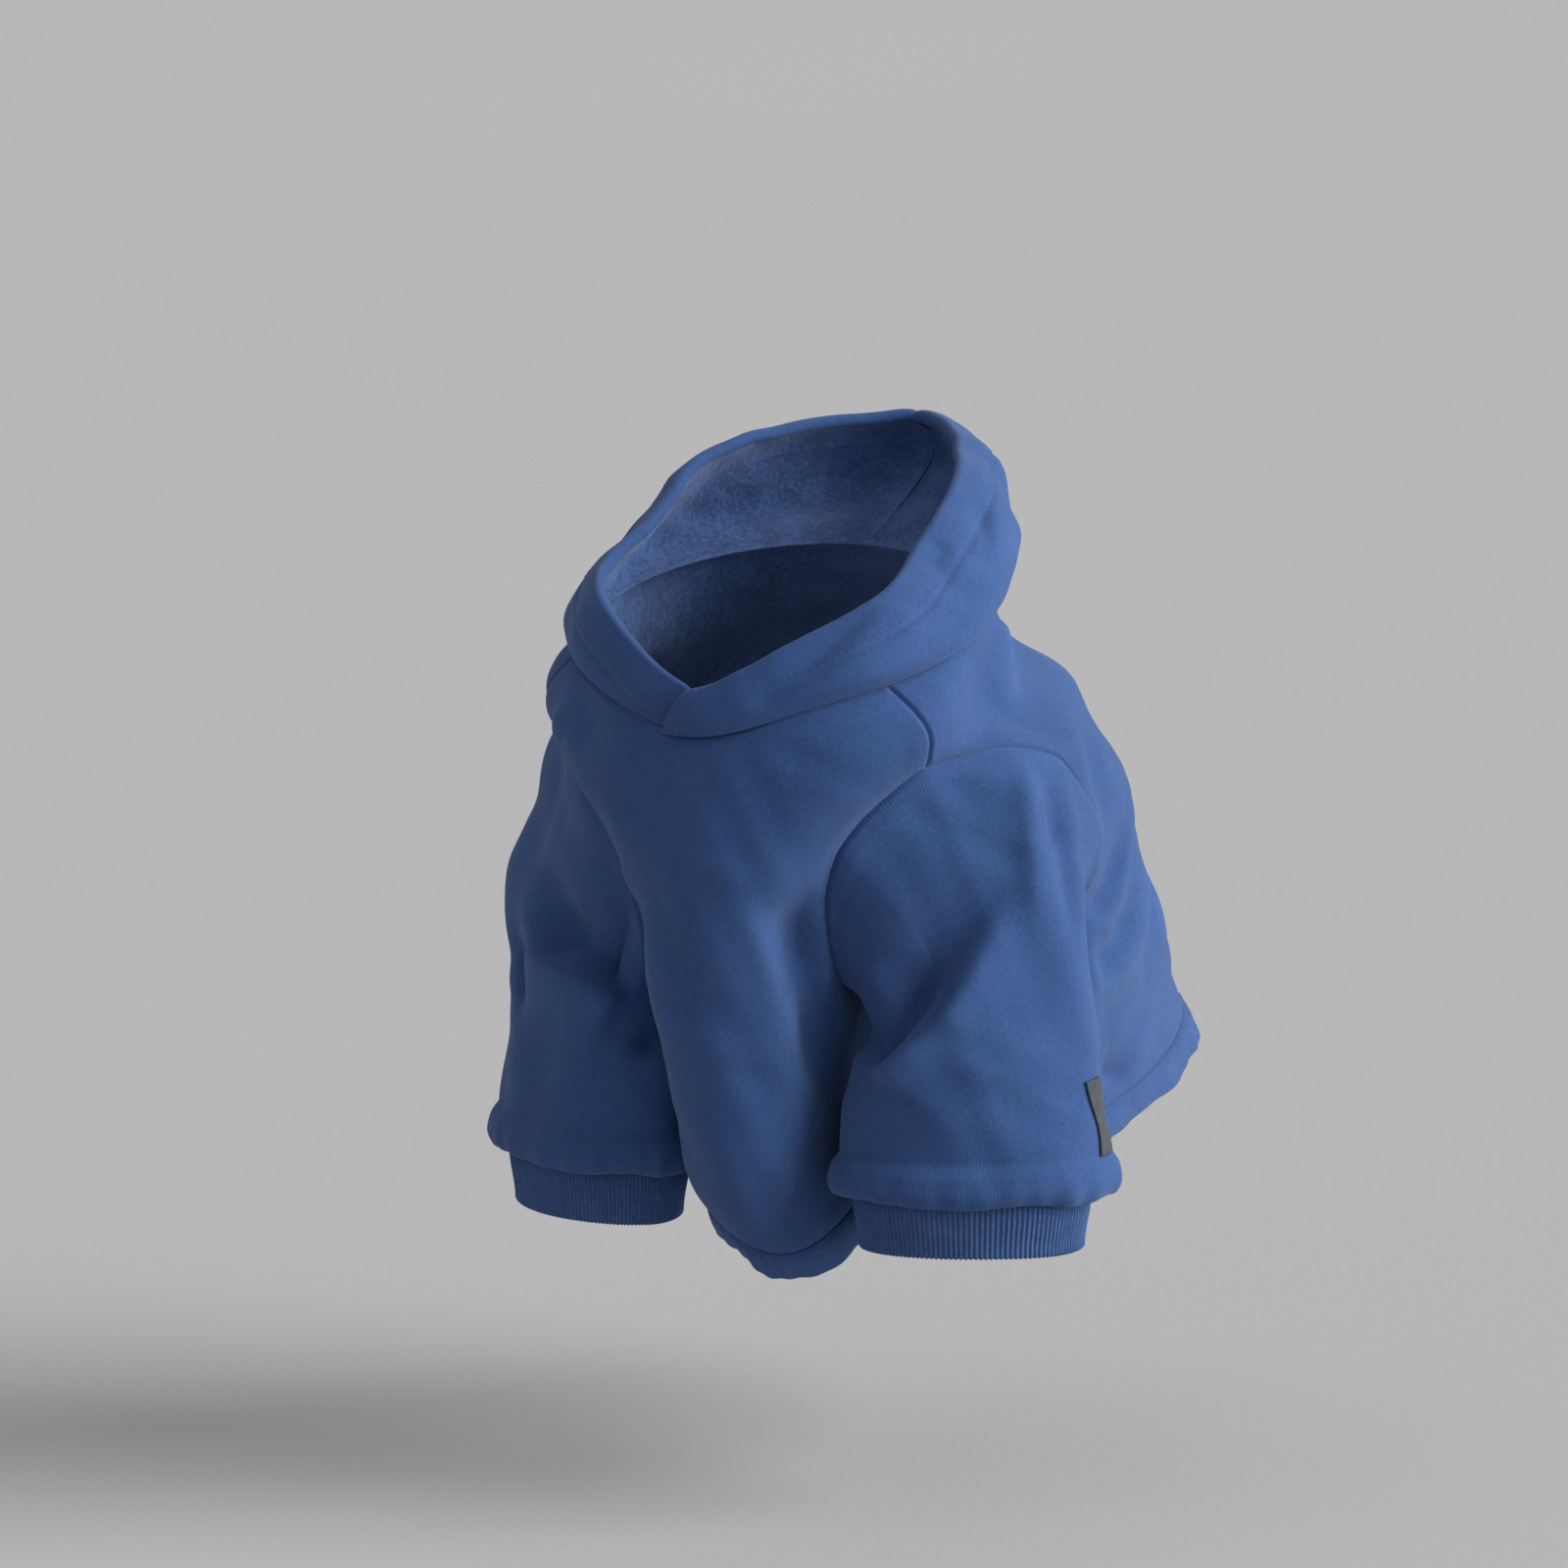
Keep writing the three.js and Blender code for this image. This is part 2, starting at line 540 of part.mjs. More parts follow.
// The direction in which the sleeve leaves the armhole seam.
function springDirection(turn, side) {
  const seam = armholePlace(turn, 0);
  const nearer = armholePlace(turn, -NEARER);
  const onSeam = bodyPoint(seam.along, seam.down, side);
  const inward = bodyPoint(nearer.along, nearer.down, side).sub(onSeam).normalize();
  const lean = radians(springLean(turn));
  return bodyNormal(seam.along, seam.down, side)
    .multiplyScalar(Math.cos(lean))
    .addScaledVector(inward, Math.sin(lean))
    .normalize();
}

// A point of the sleeve's smooth form from the armhole (0) to the crease over its bloused end (1).
function sleeveForm(turn, down, side) {
  const seam = armholePlace(turn, -gapShare(turn, side));
  const crease = 2 * BLOUSE_ROWS[0].out * BLOUSE_HEIGHT;
  const start = bodyPoint(seam.along, seam.down, side);
  const leave = springDirection(turn, side).multiplyScalar(springReach(turn) * SLEEVE_WIDTH);
  const end = sleeveRing(turn, -SLEEVE_DROP, side, SLEEVE_WIDTH + crease, SLEEVE_THICKNESS + crease);
  const arrive = point(0, 0, -SLEEVE_FALL * SLEEVE_WIDTH);
  return start
    .multiplyScalar(2 * down ** 3 - 3 * down ** 2 + 1)
    .addScaledVector(leave, down ** 3 - 2 * down ** 2 + down)
    .addScaledVector(end, -2 * down ** 3 + 3 * down ** 2)
    .addScaledVector(arrive, down ** 3 - down ** 2);
}

// A point of the sleeve's outer face, with its folds. They fade out at the armhole and over the crease.
function sleevePoint(turn, down, side) {
  const girth = (Math.PI / 2) * (SLEEVE_WIDTH + SLEEVE_THICKNESS);
  const fade = smooth(...FADE.sleeveFoldsIn, down) * (1 - smooth(...FADE.sleeveFoldsOut, down));
  const height = foldHeight(SLEEVE_FOLDS, side, turn, down, girth, SLEEVE_DROP) * fade;
  if (height === 0) return sleeveForm(turn, down, side);
  const normal = normalOf((a, d) => sleeveForm(a, d, side), turn, insideShare(down));
  return sleeveForm(turn, down, side).addScaledVector(normal, -side * height);
}

function sleeveNormal(turn, down, side) {
  return normalOf((a, d) => sleevePoint(a, d, side), turn, insideShare(down)).multiplyScalar(-side);
}

function sleeve(name, side) {
  const seamNormal = (turn) => bodyNormal(armholeAlong(turn), armholeDown(turn), side);
  const tube = ringGrid(SLEEVE_ROWS, SLEEVE_AROUND, (down, turn) => ({
    place: sleevePoint(turn, down, side),
    normal: down > 0 ? sleeveNormal(turn, down, side) : seamNormal(turn),
  }));
  const bloused = ringGrid(BLOUSE_ROWS.length - 2, SLEEVE_AROUND, (share, turn) => {
    const row = BLOUSE_ROWS[1 + Math.round(share * (BLOUSE_ROWS.length - 2))];
    const width = SLEEVE_WIDTH + 2 * row.out * BLOUSE_HEIGHT;
    const thickness = SLEEVE_THICKNESS + 2 * row.out * BLOUSE_HEIGHT;
    const z = -SLEEVE_DROP - row.down * BLOUSE_HEIGHT;
    return ringCell(turn, z, side, width, thickness);
  });
  return clothMesh(name, [...tube, ...bloused], true, WALL, FLEECE);
}

// The ribbed cuff, a little narrower at its lower edge.
function cuff(name, side) {
  const top = -SLEEVE_DROP - BLOUSE_HEIGHT;
  const cells = ringGrid(CUFF_ROWS, SLEEVE_AROUND, (down, turn) => {
    const width = CUFF_WIDTH - CUFF_NARROWING * down;
    const thickness = CUFF_THICKNESS - CUFF_NARROWING * down;
    return ringCell(turn, top - CUFF_HEIGHT * down, side, width, thickness);
  });
  return clothMesh(name, cells, true, WALL, RIB_KNIT);
}

// The neckline's point, for a share from the front (0) to the back (1). Shares below 0 lie across the middle.
function neckPoint(along, side) {
  return bodyPoint(Math.abs(along), 0, along < 0 ? -side : side);
}

function neckOutward(along, side) {
  const ahead = neckPoint(along + STEP, side).sub(neckPoint(along - STEP, side));
  return point(ahead.y, -ahead.x, 0).multiplyScalar(side).normalize();
}

// A point of the hood from the neckline (0) to its opening edge (1). layer moves it outward where the two
// panels cross at the front.
function hoodPoint(along, up, side, layer) {
  const place = Math.abs(along);
  const outward = neckOutward(clamp(along, ...HOOD_OUTWARD), side);
  const low = neckPoint(along, side);
  low.z += SEAM_GAP;
  const rise = hood.rise(place) * HOOD_HEIGHT;
  const edge = low.clone().addScaledVector(outward, hood.out(place) * HOOD_REACH);
  edge.z += rise;
  const lowSwell = low.clone().addScaledVector(outward, hood.bellyLow(place) * HOOD_BELLY);
  lowSwell.z += rise * SWELL_RISE;
  const highSwell = edge.clone().addScaledVector(outward, hood.bellyHigh(place) * HOOD_BELLY);
  highSwell.z -= rise * SWELL_RISE;
  const meridian = new THREE.CubicBezierCurve3(low, lowSwell, highSwell, edge).getPoint(up);
  return meridian.addScaledVector(outward, layer * (1 - smooth(...FADE.crossing, along)));
}

// Half of the hood, from its front edge, slanted across the middle, to the centre back seam.
function hoodPanel(name, side, layer) {
  const crossing = HOOD_CROSSING / ((Math.PI / 2) * NECK_WIDTH);
  const backGap = halfGap / ((Math.PI / 2) * NECK_WIDTH);
  const surface = (a, b) => hoodPoint(a, b, side, layer);
  const cells = grid(HOOD_ROWS_UP, HOOD_ALONG, (up, share) => {
    const along = lerp(-crossing * (1 - up), 1 - backGap, share);
    const normal = normalOf(surface, clamp(along, ...HOOD_FACING), insideShare(up)).multiplyScalar(side);
    if (share === 1) normal.setX(0).normalize();
    return { place: surface(along, up), normal };
  });
  return clothMesh(name, cells, false, HOOD_WALL, FLEECE);
}

// The share of the sleeve's length at which it hangs a drop below the origin.
function sleeveShareAt(drop, turn, side) {
  let low = 0;
  let high = 1;
  for (let i = 0; i < HALVINGS; i++) {
    const middle = (low + high) / 2;
    if (-sleevePoint(turn, middle, side).z < drop) low = middle;
    else high = middle;
  }
  return low;
}

// The small woven label near the rear of a sleeve.
function sleeveLabel(name, side) {
  const around = LABEL_WIDTH / ((Math.PI / 2) * (SLEEVE_WIDTH + SLEEVE_THICKNESS));
  const top = sleeveShareAt(LABEL_DROP, LABEL_TURN, side);
  const bottom = sleeveShareAt(LABEL_DROP + LABEL_LENGTH, LABEL_TURN, side);
  const cells = grid(LABEL_GRID.down, LABEL_GRID.across, (row, across) => {
    const turn = LABEL_TURN + (across - 0.5) * around;
    const down = lerp(top, bottom, row);
    const normal = sleeveNormal(turn, down, side);
    return { place: sleevePoint(turn, down, side).addScaledVector(normal, halfGap + LABEL_WALL), normal };
  });
  return clothMesh(name, cells, false, LABEL_WALL, WOVEN_TAPE);
}

const hoodie = new THREE.Group();
hoodie.add(bodyPanel("front_panel", true, FRONT_ACROSS));
hoodie.add(bodyPanel("back_panel", false, BACK_ACROSS));
hoodie.add(hemBand());
for (const [word, side] of [["left", 1], ["right", -1]]) {
  hoodie.add(sleeve("sleeve_" + word, side));
  hoodie.add(cuff("cuff_" + word, side));
  hoodie.add(hoodPanel("hood_" + word, side, side * (HOOD_WALL / 2 + SEAM_GAP)));
}
hoodie.add(sleeveLabel("sleeve_label", 1));
export default hoodie;
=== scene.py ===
"""A dog hoodie in brushed sweatshirt fleece, held up in the shape it takes on the dog.

Metres, +Z up. The wearer faces -Y, with the left side at +X, and the origin is the middle of the back
neckline. Each piece of cloth is a function of two shares of its own pattern, so a seam, a fold or a row of
stitches is placed by the same shares on every piece that meets there.
"""

import math
from collections import namedtuple

import bpy
import numpy as np
from mathutils import Matrix, Vector
from mathutils.kdtree import KDTree


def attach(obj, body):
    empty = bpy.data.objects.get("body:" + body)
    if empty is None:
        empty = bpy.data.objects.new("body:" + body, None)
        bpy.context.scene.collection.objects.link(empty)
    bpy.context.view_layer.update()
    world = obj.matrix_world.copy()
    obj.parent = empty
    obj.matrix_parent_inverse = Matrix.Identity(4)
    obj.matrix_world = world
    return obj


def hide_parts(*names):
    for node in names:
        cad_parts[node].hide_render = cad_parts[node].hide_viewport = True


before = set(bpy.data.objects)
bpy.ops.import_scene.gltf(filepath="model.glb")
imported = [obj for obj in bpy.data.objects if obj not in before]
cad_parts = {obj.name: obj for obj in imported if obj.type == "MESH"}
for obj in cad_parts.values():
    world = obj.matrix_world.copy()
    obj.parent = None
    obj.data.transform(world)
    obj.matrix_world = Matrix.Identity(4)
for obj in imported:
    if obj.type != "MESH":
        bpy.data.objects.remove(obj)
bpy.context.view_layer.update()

LEFT = 1
RIGHT = -1

# The cloth
WALL = 0.003
RIM_STEPS = 5
SEAM_OVERLAP = 0.0002
LAYER_GAP = 0.0003
SEAM_DEPTH = 0.0011
SEAM_WIDTH = 0.0009
SEAM_PUFF = 0.00025
SEAM_PUFF_AT = 0.0055

# The neckline
NECK_WIDTH = 0.140
NECK_LENGTH = 0.124
NECK_DROP = 0.035
NECK_DIP = 0.009

# The body
FRONT_LENGTH = 0.180
FRONT_SET_BACK = 0.043
BACK_REACH = 0.150
BACK_DROP = 0.170
BODY_WIDTH = 0.190
CHEST_CLEARANCE = 0.003
FLANK_CLEARANCE = 0.028
TONGUE_DROP = 0.016
TONGUE_MIDDLE = 0.1
MIDDLE_WIDTH = 0.16
BACK_SQUARENESS = 2.1
NECK_SQUARENESS = 2
HEM_HEIGHT = 0.010
HEM_FLARE = 0.003
HEM_WALL = 0.004
HEM_PROUD = 0.0006

# The sleeves
SLEEVE_SPACING = 0.141
SLEEVE_FORWARD = 0.059
SLEEVE_WIDTH = 0.091
SLEEVE_THICKNESS = 0.060
SLEEVE_TURN = math.radians(30)
SLEEVE_DROP = 0.185
SLEEVE_FALL = 0.9
UNDERARM_ANGLE = math.radians(160)
BLOUSE_HEIGHT = 0.015
CUFF_HEIGHT = 0.016
CUFF_WIDTH = 0.078
CUFF_THICKNESS = 0.052
CUFF_NARROWING = 0.004
CUFF_PULL = 0.0012

# The hood
HOOD_WALL = 0.0045
HOOD_HEIGHT = 0.042
HOOD_REACH = 0.028
HOOD_BELLY = 0.034
HOOD_CROSSING = 0.008
SWELL_RISE = 0.25
CASING_WIDTH = 0.013
CASING_DEPTH = 0.0006
CASING_SWELL = 0.0004
CASING_LINE = 0.0011

# The label
LABEL_WALL = 0.0008
LABEL_LENGTH = 0.027
LABEL_WIDTH = 0.010
LABEL_DROP = 0.160
LABEL_TURN = 0.515

# The finish of the cloth
STILL_BY_SEAM = 0.010
SEAM_SHARED = 0.006
HEM_PUCKER = 0.00025
HEM_SWAY = 0.0008
HEM_STITCH_DOWN = 0.0026
GATHER_DEPTH = 0.0005
BLOUSE_SAG = 0.0016
RIB_COUNT = 136
RIB_DEPTH = 0.00045
CUFF_TUCKED = 0.004
CUFF_TUCK_IN = 0.004
WALE = 0.0009
COURSE = 0.0008
RIB_WALE = 0.00075
KNIT_DEPTH = 0.00018
FIBRE_SIZE = 0.0016
TAPE_THREAD = 0.0005
STITCH_PITCH = 0.0026
LABEL_STITCH_PITCH = 0.0012
STITCH_SHARE = 0.8
THREAD_WIDTH = 0.00038

# The finish of the materials
DYE_DRIFT = 0.05
FUZZ_SIZE = 0.0007
FUZZ_SHARE = 0.65
RIB_FUZZ_SIZE = 0.0006
RIB_FUZZ_SHARE = 0.4
# Painted highlight: raised cloth is lightened towards a pale blue by up to this share, in full at this
# height of relief.
CREST_HIGHLIGHT_SHARE = 0.1
CREST_HIGHLIGHT_HEIGHT = 0.003
PILE_SIZE = 0.0022
PILE_DEPTH = 0.0009
TAPE_DEPTH = 0.00012
THREAD_TWIST = 0.0003
THREAD_DEPTH = 0.0001

# The stage
FLOOR_LEVEL = -0.305
FLOOR_HALF = 40
WORLD_LIGHT = 0.56
KEY_STRENGTH = 5.2
KEY_SOFTNESS = math.radians(50)
FILL_POWER = 1.5
SENSOR = 36
CAMERA_DISTANCE = 9
FRAME_WIDTH = 0.512
VIEW_BACK = (0.4924, -0.8529, 0.1736)
VIEW_RIGHT = (0.8660, 0.5, 0)
VIEW_UP = (-0.0868, 0.1504, 0.9848)
AIMED_AT = (0, -0.059, -0.051)
AIM_LEFT = 0.00064
AIM_DOWN = 0.01856
KEY_WAY = (0.9, 0.38, 0.2)
FILL_WAY = (-1, 0.35, 0.8)
FILL_DISTANCE = 2.0
FILL_SIZE = 1.6

Line = namedtuple("Line", "at front_back front_down back_out back_down")
LINE_ROWS = (
    Line(0, 0, 0, 0, 0),
    Line(0.12, -0.08, 0.12, 0.12, 0.1),
    Line(0.25, -0.1, 0.27, 0.29, 0.22),
    Line(0.4, -0.02, 0.43, 0.495, 0.375),
    Line(0.55, 0.1, 0.59, 0.652, 0.54),
    Line(0.7, 0.27, 0.74, 0.78, 0.69),
    Line(0.85, 0.54, 0.88, 0.89, 0.85),
    Line(1, 1, 1, 1, 1),
)
Width = namedtuple("Width", "at neck chest flank round forward")
WIDTH_ROWS = (
    Width(0, 1, 1, 0.74, 0.5, 1),
    Width(0.12, 0.18, 0.8, 0.745, 0.44, 1),
    Width(0.25, 0, 0.45, 0.935, 0.36, 0.85),
    Width(0.4, 0, 0.17, 0.945, 0.26, 0.3),
    Width(0.55, 0, 0.08, 0.88, 0.19, 0),
    Width(0.7, 0, 0.02, 0.84, 0.15, 0),
    Width(0.85, 0, 0, 0.795, 0.13, 0),
    Width(1, 0, 0, 0.765, 0.12, 0),
)
Armhole = namedtuple("Armhole", "along down")
ARMHOLE_ROWS = (
    Armhole(0.39, 0.59),
    Armhole(0.31, 0.565),
    Armhole(0.27, 0.45),
    Armhole(0.258, 0.295),
    Armhole(0.35, 0.168),
    Armhole(0.452, 0.18),
    Armhole(0.535, 0.25),
    Armhole(0.555, 0.38),
    Armhole(0.49, 0.52),
)
SHOULDER_TURN = 4 / len(ARMHOLE_ROWS)
HOLE_MIDDLE = Armhole(0.42, 0.34)
SHOULDER_AT_NECK = 0.32
YOKE_DOWN = 0.12
SIDE_SEAM_AT_HEM = 0.4

Spring = namedtuple("Spring", "lean reach")
SPRING_ROWS = (
    Spring(0, 0.3),
    Spring(10, 0.35),
    Spring(25, 0.45),
    Spring(45, 0.7),
    Spring(66, 0.9),
    Spring(66, 0.95),
    Spring(50, 0.8),
    Spring(35, 0.6),
    Spring(10, 0.4),
)
SPRING_SAMPLES = 720
SPRING_EVENED = 0.035
Blouse = namedtuple("Blouse", "at out down")
BLOUSE_ROWS = (
    Blouse(0, -0.11, 0),
    Blouse(0.25, 0.1, 0.3),
    Blouse(0.5, 0.16, 0.62),
    Blouse(0.75, 0.02, 0.92),
    Blouse(1, -0.22, 0.98),
)
Hood = namedtuple("Hood", "at rise out belly_low belly_high")
HOOD_ROWS = (
    Hood(0, 0.34, 0, 0.08, 0.05),
    Hood(0.15, 0.54, -0.1, 0.1, 0.08),
    Hood(0.3, 0.66, -0.24, 0.18, 0.18),
    Hood(0.5, 0.74, -0.64, 0.27, 0.3),
    Hood(0.75, 0.93, -0.2, 0.6, 0.64),
    Hood(1, 1, 1, 1, 0.85),
)

# The folds
FOLD_SAMPLES = 20
FOLD_BLEND = 0.0012
FOLD_CREST = 1.6
FOLD_THROUGH = 0.02
FOLDS_END = 0.86

# Each fold runs along a curve through three places given as shares across and down the piece. above and
# below are how far it reaches on its upper and lower side, depth how deep it is (below 0 for a ridge), lip
# how high the cloth swells past its lower side, and fade_in and fade_out the shares of its length over
# which it starts and ends.
Fold = namedtuple("Fold", "side start middle end above below depth lip fade_in fade_out")
SLEEVE_FOLDS = (
    Fold(LEFT, (0.13, 0.62), (0.30, 0.515), (0.49, 0.34), 0.016, 0.0040, 0.0115, 0.0042, 0.1, 0.6),
    Fold(LEFT, (0.20, 0.54), (0.33, 0.43), (0.45, 0.33), 0.024, 0.016, 0.0055, 0.0, 0.3, 0.5),
    Fold(LEFT, (0.34, 0.14), (0.27, 0.08), (0.18, 0.06), 0.004, 0.002, 0.0014, 0.0005, 0.5, 0.4),
    Fold(LEFT, (0.595, 0.04), (0.542, 0.25), (0.479, 0.51), 0.006, 0.005, -0.0024, 0.0, 0.2, 0.5),
    Fold(LEFT, (0.600, 0.10), (0.590, 0.32), (0.555, 0.60), 0.006, 0.006, 0.0026, 0.0, 0.3, 0.5),
    Fold(LEFT, (0.90, 0.55), (0.78, 0.56), (0.66, 0.68), 0.014, 0.005, 0.0040, 0.0025, 0.2, 0.5),
    Fold(LEFT, (0.20, 0.80), (0.30, 0.77), (0.42, 0.80), 0.008, 0.008, 0.0010, 0.0006, 0.5, 0.5),
    Fold(RIGHT, (0.45, 0.515), (0.29, 0.47), (0.16, 0.34), 0.017, 0.0048, 0.0135, 0.0040, 0.4, 0.1),
    Fold(RIGHT, (0.50, 0.575), (0.44, 0.635), (0.32, 0.72), 0.009, 0.004, 0.0044, 0.0026, 0.35, 0.6),
    Fold(RIGHT, (0.14, 0.72), (0.08, 0.60), (0.00, 0.56), 0.007, 0.004, 0.0035, 0.0018, 0.4, 0.2),
    Fold(RIGHT, (0.84, 0.50), (0.74, 0.52), (0.62, 0.64), 0.014, 0.005, 0.0040, 0.0025, 0.2, 0.5),
    Fold(RIGHT, (0.50, 0.28), (0.52, 0.50), (0.53, 0.74), 0.022, 0.022, -0.0070, 0.0, 0.5, 0.5),
)
BODY_FOLDS = (
    Fold(LEFT, (0.68, 0.03), (0.60, 0.09), (0.52, 0.17), 0.007, 0.007, -0.0030, 0.0, 0.2, 0.4),
    Fold(LEFT, (0.67, 0.20), (0.59, 0.36), (0.55, 0.46), 0.009, 0.009, 0.0035, 0.0, 0.5, 0.4),
    Fold(LEFT, (0.64, 0.46), (0.58, 0.52), (0.52, 0.55), 0.009, 0.005, 0.0038, 0.0016, 0.5, 0.2),
    Fold(LEFT, (0.64, 0.59), (0.58, 0.64), (0.51, 0.67), 0.009, 0.005, 0.0036, 0.0014, 0.5, 0.2),
    Fold(LEFT, (0.70, 0.40), (0.642, 0.478), (0.548, 0.579), 0.007, 0.007, -0.0026, 0.0, 0.4, 0.3),
    Fold(LEFT, (0.72, 0.52), (0.645, 0.61), (0.53, 0.70), 0.008, 0.008, -0.0032, 0.0, 0.4, 0.3),
    Fold(LEFT, (0.76, 0.58), (0.70, 0.66), (0.62, 0.74), 0.012, 0.009, 0.0035, 0.0010, 0.3, 0.5),
    Fold(LEFT, (0.50, 0.86), (0.52, 0.90), (0.545, 0.94), 0.006, 0.003, 0.0030, 0.0012, 0.1, 0.5),
    Fold(LEFT, (0.12, 0.30), (0.165, 0.49), (0.20, 0.74), 0.009, 0.009, -0.0034, 0.0, 0.4, 0.4),
    Fold(LEFT, (0.18, 0.30), (0.225, 0.50), (0.25, 0.76), 0.010, 0.009, 0.0070, 0.0, 0.3, 0.3),
    Fold(RIGHT, (0.15, 0.32), (0.17, 0.46), (0.16, 0.64), 0.009, 0.007, 0.0045, 0.0, 0.3, 0.3),
    Fold(RIGHT, (0.06, 0.34), (0.09, 0.44), (0.09, 0.62), 0.008, 0.008, -0.0028, 0.0, 0.4, 0.4),
    Fold(RIGHT, (0.23, 0.06), (0.24, 0.11), (0.25, 0.16), 0.005, 0.005, -0.0018, 0.0, 0.3, 0.5),
    Fold(RIGHT, (0.19, 0.05), (0.20, 0.10), (0.22, 0.15), 0.005, 0.005, -0.0012, 0.0, 0.3, 0.5),
    Fold(RIGHT, (0.66, 0.38), (0.60, 0.48), (0.57, 0.62), 0.010, 0.006, 0.0045, 0.0015, 0.4, 0.4),
    Fold(RIGHT, (0.74, 0.50), (0.66, 0.60), (0.58, 0.72), 0.009, 0.009, -0.0035, 0.0, 0.3, 0.4),
    Fold(RIGHT, (0.80, 0.30), (0.72, 0.40), (0.66, 0.52), 0.012, 0.010, 0.0025, 0.0, 0.4, 0.5),
    Fold(LEFT, (0.86, 0.28), (0.80, 0.42), (0.77, 0.58), 0.014, 0.012, 0.0022, 0.0, 0.4, 0.5),
)
HOOD_FOLDS = (
    Fold(LEFT, (0.70, 0.84), (0.645, 0.75), (0.59, 0.62), 0.005, 0.003, 0.0014, 0.0006, 0.3, 0.5),
    Fold(LEFT, (0.11, 0.36), (0.186, 0.595), (0.33, 1.0), 0.007, 0.004, 0.0018, 0.0010, 0.6, 0.4),
    Fold(LEFT, (0.56, 0.88), (0.52, 0.84), (0.46, 0.78), 0.006, 0.005, 0.0018, 0.0008, 0.3, 0.4),
    Fold(LEFT, (0.86, 0.70), (0.80, 0.58), (0.72, 0.50), 0.010, 0.007, 0.0025, 0.0010, 0.4, 0.4),
    Fold(RIGHT, (0.66, 0.82), (0.58, 0.70), (0.50, 0.62), 0.008, 0.005, 0.0024, 0.0010, 0.3, 0.4),
    Fold(RIGHT, (0.88, 0.62), (0.80, 0.52), (0.70, 0.48), 0.010, 0.007, 0.0025, 0.0010, 0.4, 0.4),
)


def smooth(low, high, value):
    t = np.clip((value - low) / (high - low), 0, 1)
    return t * t * (3 - 2 * t)


def bump(distance, width):
    return np.exp(-((distance / width) ** 2))


def lerp(start, end, t):
    return start + (end - start) * t


def slope(before, here, after):
    """The slope at a value between its neighbours, level where the values turn."""
    rise, climb = here - before, after - here
    same_way = rise * climb > 0
    return np.where(same_way, 2 * rise * climb / np.where(same_way, rise + climb, 1), 0)


def cubic(before, start, end, after, t):
    slope_start, slope_end = slope(before, start, end), slope(start, end, after)
    a = 2 * start - 2 * end + slope_start + slope_end
    b = -3 * start + 3 * end - 2 * slope_start - slope_end
    return ((a * t + b) * t + slope_start) * t + start


def column(rows, name):
    """One column of an open table, as a smooth function of the place in its `at` column."""
    places = np.array([row.at for row in rows], float)
    values = np.array([getattr(row, name) for row in rows], float)
    steps = np.diff(places)
    rates = np.diff(values) / steps
    same_way = rates[:-1] * rates[1:] > 0
    near, far = steps[:-1] + 2 * steps[1:], 2 * steps[:-1] + steps[1:]
    before, after = np.where(same_way, rates[:-1], 1), np.where(same_way, rates[1:], 1)
    middle = np.where(same_way, (near + far) / (near / before + far / after), 0)
    slopes = np.concatenate([rates[:1], middle, rates[-1:]])

    def value_at(place):
        i = np.clip(np.searchsorted(places, place, side="right") - 1, 0, len(places) - 2)
        t = (place - places[i]) / steps[i]
        rise, first, last = values[i + 1] - values[i], slopes[i] * steps[i], slopes[i + 1] * steps[i]
        return values[i] + t * (first + t * (3 * rise - 2 * first - last + t * (first + last - 2 * rise)))

    return value_at


def loop_column(rows, name):
    """One column of a closed table of evenly spaced rows, as a smooth function of the turn."""
    values = np.array([getattr(row, name) for row in rows], float)
    count = len(rows)

    def value_at(turn):
        place = np.mod(turn, 1) * count
        i = np.floor(place).astype(int)
        return cubic(*(values[(i + k) % count] for k in (-1, 0, 1, 2)), place - i)

    return value_at


line_at = {name: column(LINE_ROWS, name) for name in Line._fields[1:]}
width_at = {name: column(WIDTH_ROWS, name) for name in Width._fields[1:]}
hood_at = {name: column(HOOD_ROWS, name) for name in Hood._fields[1:]}
blouse_at = {name: column(BLOUSE_ROWS, name) for name in Blouse._fields[1:]}
armhole_along = loop_column(ARMHOLE_ROWS, "along")
armhole_down = loop_column(ARMHOLE_ROWS, "down")
spring_lean = loop_column(SPRING_ROWS, "lean")
spring_reach = loop_column(SPRING_ROWS, "reach")


def points(x, y, z):
    return np.stack(np.broadcast_arrays(x, y, z), axis=-1).astype(float)


def unit(vectors):
    return vectors / np.maximum(np.linalg.norm(vectors, axis=-1, keepdims=True), 1e-12)


def dot(a, b):
    return np.sum(a * b, axis=-1)


def spread(values):
    """An array with one more axis, so that it multiplies vectors."""
    return np.asarray(values)[..., None]


def normal_of(surface, a, b):
    step = 1e-3
    across = surface(a + step, b) - surface(a - step, b)
    down = surface(a, b + step) - surface(a, b - step)
    return unit(np.cross(across, down))


turn_sine, turn_cosine = math.sin(SLEEVE_TURN), math.cos(SLEEVE_TURN)
sleeve_reach_x = math.hypot(SLEEVE_WIDTH / 2 * turn_cosine, SLEEVE_THICKNESS / 2 * turn_sine)
sleeve_reach_y = math.hypot(SLEEVE_WIDTH / 2 * turn_sine, SLEEVE_THICKNESS / 2 * turn_cosine)
chest_half = SLEEVE_SPACING / 2 - sleeve_reach_x - CHEST_CLEARANCE
hem_seam = 1 - HEM_HEIGHT / FRONT_LENGTH
half_gap = -SEAM_OVERLAP / 2


